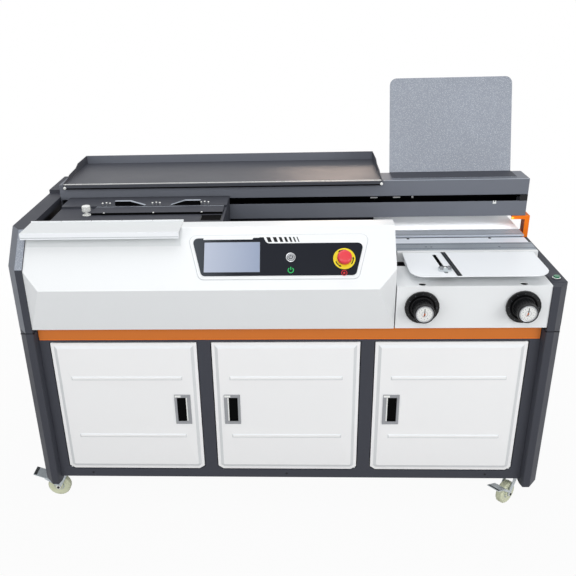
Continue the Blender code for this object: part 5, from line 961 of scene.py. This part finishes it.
def make_beam_details():
    """What shows in the beam's slot, its fixings painted white for their glint, the clip and slot plug of the
    beam with a painted highlight on its top edge, and the tray's pins with a painted highlight and painted
    shade along its lip.
    """
    rail = span("guide_rail")[0].y
    # The fixings painted white, standing for their glint in the shade of the slot
    bm = bmesh.new()
    for x in (0.289, 0.3626):
        plate(bm, oblong((x, 0.9040), 24 * MM, 4.2 * MM), -0.5, 0.25, facing((0, rail, 0), FRONT))
    pin(bm, facing((0.4136, rail, 0.9045), FRONT), 3.4, -0.5, 0.25, 32)
    publish("rail_fixings", bm, "white_ink", "guide_rail")
    low, high = span("beam_cover")
    bm = bmesh.new()
    for x, width, bottom, top in ((0.6613, 11, 0.8915, 0.8965), (0.6622, 2.6, 0.8950, 0.9015),
                                  (0.6690, 2.6, 0.8950, 0.9015)):
        block(bm, (x, low.y - 1.2 * MM, bottom), (x + width * MM, low.y + 1 * MM, top), bevel=0.3 * MM)
    publish("beam_clip", bm, "bright_metal", "beam_cover")
    bar("beam_slot_plug", "beam_cover", "black_plastic", (high.x - 24 * MM, low.y - 0.2 * MM, 0.9002),
        (high.x - 0.4 * MM, low.y + 1 * MM, 0.9208))
    tray_low, tray_high = span("tray")
    # A bright strip along the beam's top front edge: painted highlight
    bar("beam_top_edge", "beam_cover", "dull_steel",
        (tray_high.x + 6 * MM, low.y - 0.15 * MM, high.z - 1.0 * MM),
        (high.x - 3 * MM, low.y + 1.2 * MM, high.z + 0.1 * MM), 0.2)
    bm = bmesh.new()
    for x in (tray_low.x + 6 * MM, tray_high.x - 2 * MM):
        lathe(bm, [(0, -4), (2.8, -4), (2.8, 2.2), (4.6, 2.4), (4.6, 4.6), (3.4, 5.8), (0, 6.0)],
              facing((x, tray_low.y + 1 * MM, 0.9660), FRONT), 24)
    publish("tray_pins", bm, "bright_metal", "tray")
    lip_top = max(point.z for point in corners("tray") if point.y < tray_low.y + 1 * MM)
    # A bright metal strip along the tray lip's top edge: painted highlight
    bar("tray_lip_edge", "tray", "bright_metal",
        (tray_low.x + 3 * MM, tray_low.y - 0.2 * MM, lip_top - 2.2 * MM),
        (tray_high.x - 3 * MM, tray_low.y + 1.2 * MM, lip_top + 0.15 * MM), 0.2)
    bar("tray_lip_shadow_gap", "tray", "black_joint_and_shade",
        at("tray", "lll", 3, -0.2, 0.1), at("tray", "hll", -3, 1.2, 4.4), 0.2)


def make_table_details():
    """A black lining as painted shade under the table's cut, and the graduations of the guide strip."""
    under = span("cover_table")[1].z - 3 * MM
    slot = TO_ROW @ Matrix.Translation((span("cover_table")[0].x + 0.0955, 0.084, under)) @ TABLE_SKEW
    # Painted shade: a black block under the slot
    bm = bmesh.new()
    block(bm, *mm((-9, -80, -2.6), (9, 80, -0.8)), slot)
    publish("table_slot_lining", bm, "black_joint_and_shade", "cover_table")
    strip = TO_ROW @ Matrix.Translation(at("guide_strip", "mmh", 0, 0, -0.02)) @ TABLE_SKEW
    grown("guide_strip_scale", TICK_ROW, "beam_paint", "guide_strip",
          strip @ Matrix.Translation((-0.75 * MM, -80 * MM, 0)), Count=33, Pitch=5 * MM, Length=1.5 * MM,
          Width=2.0 * MM, Height=0.16 * MM, Long_Every=2, Long_Share=1.2)


def make_second_finishes():
    """Faces painted lighter or darker than the rest of their piece: painted highlights where light falls on
    them, painted shade where it doesn't.
    """
    lip = span("front_lid")[0].y + 1 * MM
    for name, node, material, pick in (
            # Painted shade on the guide fronts, painted highlights on the guide tops, painted shade on the
            # clamp's rear top under the tray and beam
            ("clamp_guide_fronts", "clamp_carriage", "black_joint_and_shade",
             lambda n, c: c.z > 0.9302 and c.y > 0.25 and n.z < 0.2 and c.x < -0.2 and abs(n.x) < 0.99),
            ("clamp_guide_tops", "clamp_carriage", "dull_steel",
             lambda n, c: c.z > 0.9345 and n.z > 0.5 and c.y > 0.25 and c.x < -0.2),
            ("clamp_rear_top", "clamp_carriage", "tray_paint",
             lambda n, c: n.z > 0.9 and c.y > 0.28 and 0.926 < c.z < 0.934),
            # Painted shade: the jaw's front face in black
            ("clamp_jaw_front", "clamp_jaw", "black_joint_and_shade", lambda n, c: n.y < -0.9),
            ("bracket_inner_side", "guard_bracket", "bracket_shade", lambda n, c: n.x < -0.9),
            # Painted light: a lighter gray on the tray's back wall, which faces the lamps
            ("tray_back_face", "tray", "beam_paint", lambda n, c: n.y < -0.9 and c.y > 0.6 and c.z > 0.95),
            # Painted shade: the board's foot darkened under the board
            ("board_foot_face", "backboard", "frame_paint", lambda n, c: n.z > 0.9 and c.z < 1.0),
            # Painted shade: black inside the beam behind its slot
            ("beam_inner_back", "beam_cover", "black_joint_and_shade",
             lambda n, c: 0.391 < c.y < 0.485 and (n.y < -0.9 and c.y > 0.47 or n.z > 0.9 and c.z < 0.87)),
            # Painted highlight: a lighter speckled gray on the left post's lit slope
            ("post_left_slope", "side_upper_left", "board_paint",
             lambda n, c: n.y < -0.4 and n.z > 0.4 and abs(n.x) < 0.3),
            # Painted highlight: a lighter gray on the left post's chamfer, which faces the light
            ("post_left_chamfer", "side_upper_left", "beam_paint", lambda n, c: n.x < -0.25 and n.y < -0.25),
            # Painted highlight: a brighter white on the lid's lip
            ("lid_lip_face", "front_lid", "sheet_enamel", lambda n, c: n.y < -0.9 and c.y < lip)):
        skin_over(name, node, pick, material)
    for side in ("left", "middle", "right"):
        # Painted shade on each door's side and lower slopes, a painted highlight on its upper slopes
        door = "door_" + side
        skin_over(door + "_shaded_slopes", door,
                  lambda n, c: n.y < -0.3 and (abs(n.x) > 0.15 or n.z < -0.15), "door_slope")
        skin_over(door + "_lit_slopes", door, lambda n, c: n.y < -0.3 and n.z > 0.15, "sheet_enamel")


def make_front_details():
    """Screws of the frame, painted shade and highlights for the folds and grooves of the casing, the lid and
    the trim, a painted shadow under the casing, and dark joints of the posts and the lid.
    """
    screws("rail_screws", "front_frame",
           [((x, span("front_frame")[0].y, 0.127), FRONT) for x in (-0.6233, -0.0012, 0.6207)],
           3.4, 1.2, "black_steel")
    outline = hull([(point.x, point.y) for point in local_corners("front_casing", TO_SLOPE)
                    if point.z > 2 * MM])
    # A gray ring round the panel's raised surround: painted shade at its foot
    lone(ring_plate, "surround_foot", "front_casing", "white_groove", shrunk(outline, -1.6 * MM),
         shrunk(outline, 0.6 * MM), -0.3, 0.2, TO_SLOPE)
    left = span("front_casing")[0].x + 2 * MM
    right = span("front_lid")[1].x
    # A grayer band on the slope under the lid: painted shade standing for the casing's top fold
    lone(plate, "casing_top_fold", "front_casing", "lid_paint",
         [(left, 0.1305), (right + 1 * MM, 0.1305), (right - 4 * MM, 0.178), (left, 0.178)],
         -0.4, 0.5, TO_SLOPE)
    # A painted highlight along the lid's fold, painted shade in the lid lip's groove, a painted shadow on the
    # trim under the casing and a painted highlight on the trim's lower edge
    for name, node, material, pick, start, end, bevel in (
            ("lid_fold_line", "front_lid", "sheet_enamel", "llh hlh", (0.5, 0.4, -6.4), (-0.5, 4.4, -3.3),
             0.2),
            ("lid_lip_groove", "front_lid", "white_groove", "lll hll", (1, -0.15, 3.4), (-1, 0.6, 6.0), 0),
            ("trim_shadow_gap", "orange_trim", "black_joint_and_shade", "llh hlh", (1, -0.15, -4.2), (-1, 1, -0.1), 0),
            ("trim_lower_edge", "orange_trim", "bracket_paint", "lll hll", (1, -0.15, 0.5), (-1, 1, 2.2), 0)):
        first, second = pick.split()
        bar(name, node, material, at(node, first, *start), at(node, second, *end), bevel)
    joint = 0.6400
    for side in ("left", "right"):
        wall = "side_lower_" + side
        low, high = span(wall)
        ends = (low.x, high.x - 14 * MM) if side == "right" else (low.x + 14 * MM, high.x)
        bar("post_joint_gap_" + side, wall, "black_joint_and_shade", (ends[0], low.y - 0.15 * MM, joint - 1.1 * MM),
            (ends[1], low.y + 3 * MM, joint - 0.2 * MM))
    low, high = span("front_lid")
    bm = bmesh.new()
    knuckles = 5
    for i in range(1, knuckles):
        x = low.x + (high.x - low.x) * i / knuckles
        seam = TO_ROW @ Matrix.Translation((x, high.y, high.z))
        block(bm, *mm((-0.5, -5.5, -5.2), (0.5, 0.15, 0.15)), seam)
    publish("lid_knuckle_seams", bm, "black_joint_and_shade", "front_lid")


def make_stop_details():
    """The side stop's two knurled lugs, its fence and screw, and the start button's ring."""
    x, y, top = at("side_stop", "mmh", 0, 0, 0)
    on_top = TO_ROW @ Matrix.Translation((x, y, top)) @ TABLE_SKEW
    bm = bmesh.new()
    for side in (-1, 1):
        lug = on_top @ Matrix.Translation((side * 11 * MM, -2.5 * MM, 0))
        lathe(bm, [(0, -4), (6.0, -4), (6.0, 3.4), (5.2, 4.0), (0, 4.0)], lug, 32)
        for angle in round_angles(24):
            block(bm, *mm((5.8, -0.3, -3), (6.4, 0.3, 3.2)), lug @ angle)
    publish("side_stop_lugs", bm, "nickel", "side_stop", weighted=False)
    bm = bmesh.new()
    block(bm, *mm((-15, 6.2, -1), (15, 8.0, 1.2)), on_top, 0.3 * MM)
    publish("side_stop_fence", bm, "black_steel", "side_stop")
    screws("side_stop_screw", "side_stop", [((x, y, top - 0.1 * MM), UP)], 3.0, 2.2, "bright_metal")
    low, high = span("start_button")
    reach = (high.x - low.x) / 2 / MM
    middle = facing(((low.x + high.x) / 2, (low.y + high.y) / 2, span("side_upper_right")[1].z), UP)
    turned("start_button_ring", "side_upper_right", "bright_metal",
           [(reach + 0.7, -1), (reach + 2.6, -1), (reach + 2.6, 0.4), (reach + 0.7, 1.0)],
           middle, closed=True)


def make_works():
    """Cooling fins and terminal box of the mill, its cutter's teeth, and the glue in the tank."""
    x, y, foot = at("milling_motor", "mml", 0, 0, 0)
    axis = TO_ROW @ Matrix.Translation((x, y, foot))
    bm = bmesh.new()
    for turn in round_angles(36):
        block(bm, *mm((56, -1, 14), (63.5, 1, 104)), axis @ turn)
    block(bm, *mm((-22, 56, 30), (22, 78, 82)), axis, 1.2 * MM)
    publish("milling_motor_fins", bm, "cast_iron", "milling_motor", weighted=False)
    axis = TO_ROW @ Matrix.Translation((x, y, span("milling_cutter")[1].z))
    bm = bmesh.new()
    for turn in round_angles(12):
        block(bm, *mm((43, -3.4, -0.5), (53.5, 1.6, 2.4)), axis @ turn, 0.4 * MM)
    publish("milling_cutter_teeth", bm, "ground_steel", "milling_cutter", weighted=False)
    low, high = span("glue_tank")
    wall = 4.2 * MM
    # Half a millimetre under the roller, so that the two don't cross
    level = span("glue_roller")[0].z - 0.5 * MM
    bar("tank_glue", "glue_tank", "glue", (low.x + wall, low.y + wall, low.z + 8 * MM),
        (high.x - wall, high.y - wall, level), 1.5)


def louvre_bank(name, node, left, right, low, high):
    """Pressed louvres in a sheet whose outside faces back: hoods over slots painted black as shade."""
    y = span(node)[1].y
    hoods, slots = bmesh.new(), bmesh.new()
    pitch, rise = 16 * MM, 5 * MM
    side = TO_ROW @ Matrix(((0, 0, 1, 0), (1, 0, 0, 0), (0, 1, 0, 0), (0, 0, 0, 1)))
    for i in range(int((high - low) / pitch)):
        z = low + i * pitch
        hood = [(y - 0.4 * MM, z), (y + 3.2 * MM, z + 0.6 * MM), (y + 3.2 * MM, z + 1.6 * MM),
                (y - 0.4 * MM, z + rise + 4 * MM)]
        plate(hoods, hood, left / MM, right / MM, side)
        block(slots, (left + 1.5 * MM, y - 0.3 * MM, z - 2.6 * MM),
              (right - 1.5 * MM, y + 0.35 * MM, z + 0.4 * MM))
    publish(name, hoods, "frame_paint", node)
    publish(name + "_slots", slots, "black_joint_and_shade", node)


def make_rear_details():
    """Screws and louvres of the rear panels, pins of the inlet, screws of the left end."""
    edge, joint = 14 * MM, 30 * MM
    low, high = span("cabinet_back")
    rows = [low.z + edge, *(low.z + (high.z - low.z) * i / 4 for i in (1, 2, 3)), high.z - edge]
    spots = [((x, high.y, z), BACK) for x in (low.x + edge, high.x - edge) for z in rows]
    spots += [((x, high.y, z), BACK) for z in (rows[0], rows[-1]) for x in (-0.51, -0.255, 0.0, 0.255, 0.51)]
    screws("cabinet_back_screws", "cabinet_back", spots, 3.6, 1.8)
    for name, x in (("left", -0.42), ("right", 0.42)):
        louvre_bank("back_louvres_" + name, "cabinet_back", x - 70 * MM, x + 70 * MM, 0.46, 0.57)
    low, high = span("rear_cover")
    spots = [((x, high.y, z), BACK) for z in (low.z + edge, high.z - edge)
             for x in (-0.71, -0.36, 0.0, 0.36, 0.71)]
    screws("rear_cover_screws", "rear_cover", spots, 3.6, 1.8)
    louvre_bank("cover_louvres", "rear_cover", 0.09, 0.30, 0.70, 0.79)
    inlet = "mains_inlet"
    bm = bmesh.new()
    for dx, dz in ((-7, -3), (7, -3), (0, 5)):
        block(bm, at(inlet, "mhm", dx - 1, -20.5, dz - 2.5), at(inlet, "mhm", dx + 1, -4, dz + 2.5),
              bevel=0.4 * MM)
    publish("inlet_pins", bm, "nickel", inlet)
    screws("inlet_screws", inlet,
           [(at(inlet, "mhl", 0, 0, 3.0), BACK), (at(inlet, "mhh", 0, 0, -3.0), BACK)], 1.8, 1.0)
    for name, wall, shares in (("side_left_screws", "side_lower_left", "lh"),
                               ("side_left_upper_screws", "side_upper_left", "l")):
        low, high = span(wall)
        heights = [low.z + joint if share == "l" else high.z - joint for share in shares]
        screws(name, wall, [((low.x, y, z), LEFT) for y in (0.06, 0.57) for z in heights], 3.6, 1.6)


def make_caster_details():
    """Axle bosses with nuts, hub seams on the wheels, and rubber treads on the brake pedals."""
    pivots = {joint["name"]: Vector(joint["pos_m"]) - SHIFT
              for joint in frame["record"]["behaviour"]["joints"] if "pos_m" in joint}
    for corner in CORNERS:
        wheel, fork, pedal = (kind + corner for kind in ("caster_wheel_", "caster_fork_", "brake_pedal_"))
        low, high = span(wheel)
        centre = (low + high) / 2
        trail = centre - pivots["swivel_" + corner]
        local = TO_ROW @ Matrix.Translation(centre) @ Matrix.Rotation(math.atan2(trail.y, trail.x), 4, "Z")
        reach = max(abs(place.y) for place in local_corners(fork, local) if place.z < 0)
        bosses, nuts, seams = bmesh.new(), bmesh.new(), bmesh.new()
        for side in (-1, 1):
            out = local @ Matrix.Rotation(math.radians(-90 * side), 4, "X")
            boss = out @ Matrix.Translation((0, 0, reach))
            lathe(bosses, [(0, -0.3), (7.6, -0.3), (7.6, 0.7), (7.0, 1.1), (0, 1.1)], boss, 32)
            lathe(nuts, [(0, 1.0), (4.6, 1.0), (4.6, 3.4), (2.4, 3.4), (2.4, 2.6), (0, 2.6)], boss, 6)
            wall = out @ Matrix.Translation((0, 0, 9 * MM))
            lathe(seams, [(14.2, -0.3), (17.2, -0.3), (17.2, 0.75), (14.2, 0.3)], wall, 40, closed=True)
        publish("caster_boss_" + corner, bosses, "bright_metal", fork)
        publish("caster_nut_" + corner, nuts, "black_steel", fork, smooth=10.0)
        publish("caster_hub_seam_" + corner, seams, "dull_steel", wheel)
        if pedal not in NODES:
            continue
        points = local_corners(pedal, local)
        tip = max(place.x for place in points)
        end = [place for place in points if place.x > tip - 1 * MM]
        top = max(place.z for place in end)
        half = max(place.y for place in end)
        root = min(place.x for place in points if place.x > tip / 4)
        root_top = max(place.z for place in points if abs(place.x - root) < 1 * MM)
        drop = Matrix.Rotation(-math.atan2(top - root_top, tip - root), 4, "Y")
        lean = local @ Matrix.Translation((tip, 0, top)) @ drop
        bm = bmesh.new()
        block(bm, (-11 * MM, -half + 1 * MM, -0.4 * MM), (-1.0 * MM, half - 1 * MM, 0.0), lean, 0.1 * MM)
        for step in range(3):
            start = (3.2 * step - 10.4) * MM
            block(bm, (start, -half + 2 * MM, -0.4 * MM), (start + 2 * MM, half - 2 * MM, 0.25 * MM), lean,
                  0.2 * MM)
        publish("pedal_tread_" + corner, bm, "rubber", pedal)


for side in ("left", "right"):
    make_dial_knob(side)
for make in (make_panel_details, make_pulls, make_clamp_details, make_nip_details, make_beam_details,
             make_table_details, make_second_finishes, make_front_details, make_stop_details, make_works,
             make_rear_details, make_caster_details):
    make()


# Lens in mm on a 36 mm sensor, shift in sensor widths, place in machine coordinates
CAMERA_LENS = 44.047
CAMERA_SHIFT = (0.0486, 0.0131)
CAMERA_PLACE = (0.0265, -1.8161, 1.5610)
CAMERA_RIGHT = (0.99880539, 0.04154454, -0.02572616)
CAMERA_UP = (0.00650834, 0.40868197, 0.91265365)


def make_camera():
    """The photo's camera: place, turn and lens solved from the cabinet's edges."""
    data = bpy.data.cameras.new("camera")
    data.sensor_width = 36
    data.lens = CAMERA_LENS
    data.shift_x, data.shift_y = CAMERA_SHIFT
    data.clip_end = 50
    camera = bpy.data.objects.new("camera", data)
    right, up = Vector(CAMERA_RIGHT), Vector(CAMERA_UP)
    turn = Matrix((right, up, right.cross(up))).transposed().to_4x4()
    camera.matrix_world = TO_ROW @ Matrix.Translation(CAMERA_PLACE) @ turn
    bpy.context.scene.collection.objects.link(camera)
    bpy.context.scene.camera = camera


# Name, place and target in row coordinates, size in metres, power in watts, colour
LAMPS = (
    ("overhead", (-0.2, 0.1, 3.3), (0, -0.1, 0.7), (3.0, 2.0), 32, "#FFFFFF"),
    ("key", (-0.2, -3.0, 2.8), (0, 0.1, 0.8), (2.6, 1.4), 31.5, "#FFFFFF"),
    ("front_left", (-2.6, -3.4, 1.4), (0, 0, 0.5), (1.8, 1.8), 30, "#FFFFFF"),
    ("front_right", (2.8, -2.6, 1.6), (0, 0, 0.6), (1.6, 1.6), 42, "#FFFFFF"),
    ("under_beam", (0.55, 0.085, 0.846), (0.55, 0.14, 0.80), (0.42, 0.03), 0.18, "#FFFFFF"),
    ("rear_sheen", (0.30, 2.3, 1.52), (0.12, 0.2, 0.96), (0.5, 0.35), 5, "#FFE2CC"),
)


def area_light(name, place, target, size, power, colour):
    """A rectangular lamp that faces its target."""
    data = bpy.data.lights.new(name, "AREA")
    data.shape = "RECTANGLE"
    data.size, data.size_y = size
    data.energy = power
    data.color = linear(colour)
    lamp = bpy.data.objects.new(name, data)
    lamp.location = place
    lamp.rotation_euler = (Vector(target) - Vector(place)).to_track_quat("-Z", "Y").to_euler()
    bpy.context.scene.collection.objects.link(lamp)


def seen(tree):
    """1 for the rays that should meet a white background."""
    path = add(tree, "ShaderNodeLightPath").outputs
    first = add(tree, "ShaderNodeMath", (path["Is Camera Ray"], path["Is Glossy Ray"]), operation="MAXIMUM")
    return add(tree, "ShaderNodeMath", (first, path["Is Transmission Ray"]), operation="MAXIMUM")


def make_stage():
    """A pale floor that keeps the shadow, a white surround and soft lamps."""
    bm = bmesh.new()
    bmesh.ops.create_circle(bm, cap_ends=True, radius=12.0, segments=64)
    mesh = bpy.data.meshes.new("floor")
    bm.to_mesh(mesh)
    bm.free()
    floor = bpy.data.objects.new("floor", mesh)
    bpy.context.scene.collection.objects.link(floor)
    paper = bpy.data.materials.new("studio paper white")
    paper.use_nodes = True
    tree = paper.node_tree
    shader = tree.nodes["Principled BSDF"]
    shader.inputs["Base Color"].default_value = (0.41, 0.41, 0.41, 1)
    shader.inputs["Roughness"].default_value = 0.9
    shader.inputs["Specular IOR Level"].default_value = 0.1
    place = add(tree, "ShaderNodeTexCoord").outputs["Object"]
    reach = add(tree, "ShaderNodeVectorMath", (place,), operation="LENGTH").outputs["Value"]
    fade = add(tree, "ShaderNodeMapRange", {"Value": reach}, From_Min=0.9, From_Max=2.4, To_Min=0.955,
               To_Max=1.0)
    share = add(tree, "ShaderNodeMath", (seen(tree), fade), operation="MULTIPLY")
    white = add(tree, "ShaderNodeEmission", Color=(1, 1, 1, 1), Strength=1.0)
    mix = add(tree, "ShaderNodeMixShader", (share, shader, white))
    tree.links.new(mix.outputs[0], tree.nodes["Material Output"].inputs["Surface"])
    mesh.materials.append(paper)
    world = bpy.data.worlds.new("studio")
    world.use_nodes = True
    tree = world.node_tree
    soft = tree.nodes["Background"]
    soft.inputs["Color"].default_value = (0.95, 0.97, 1.0, 1)
    soft.inputs["Strength"].default_value = 0.40
    white = add(tree, "ShaderNodeBackground", Color=(1, 1, 1, 1), Strength=1.0)
    mix = add(tree, "ShaderNodeMixShader", (seen(tree), soft, white))
    tree.links.new(mix.outputs[0], tree.nodes["World Output"].inputs["Surface"])
    bpy.context.scene.world = world
    for lamp in LAMPS:
        area_light(*lamp)


make_camera()
make_stage()
scene = bpy.context.scene
scene.view_settings.view_transform = "Standard"
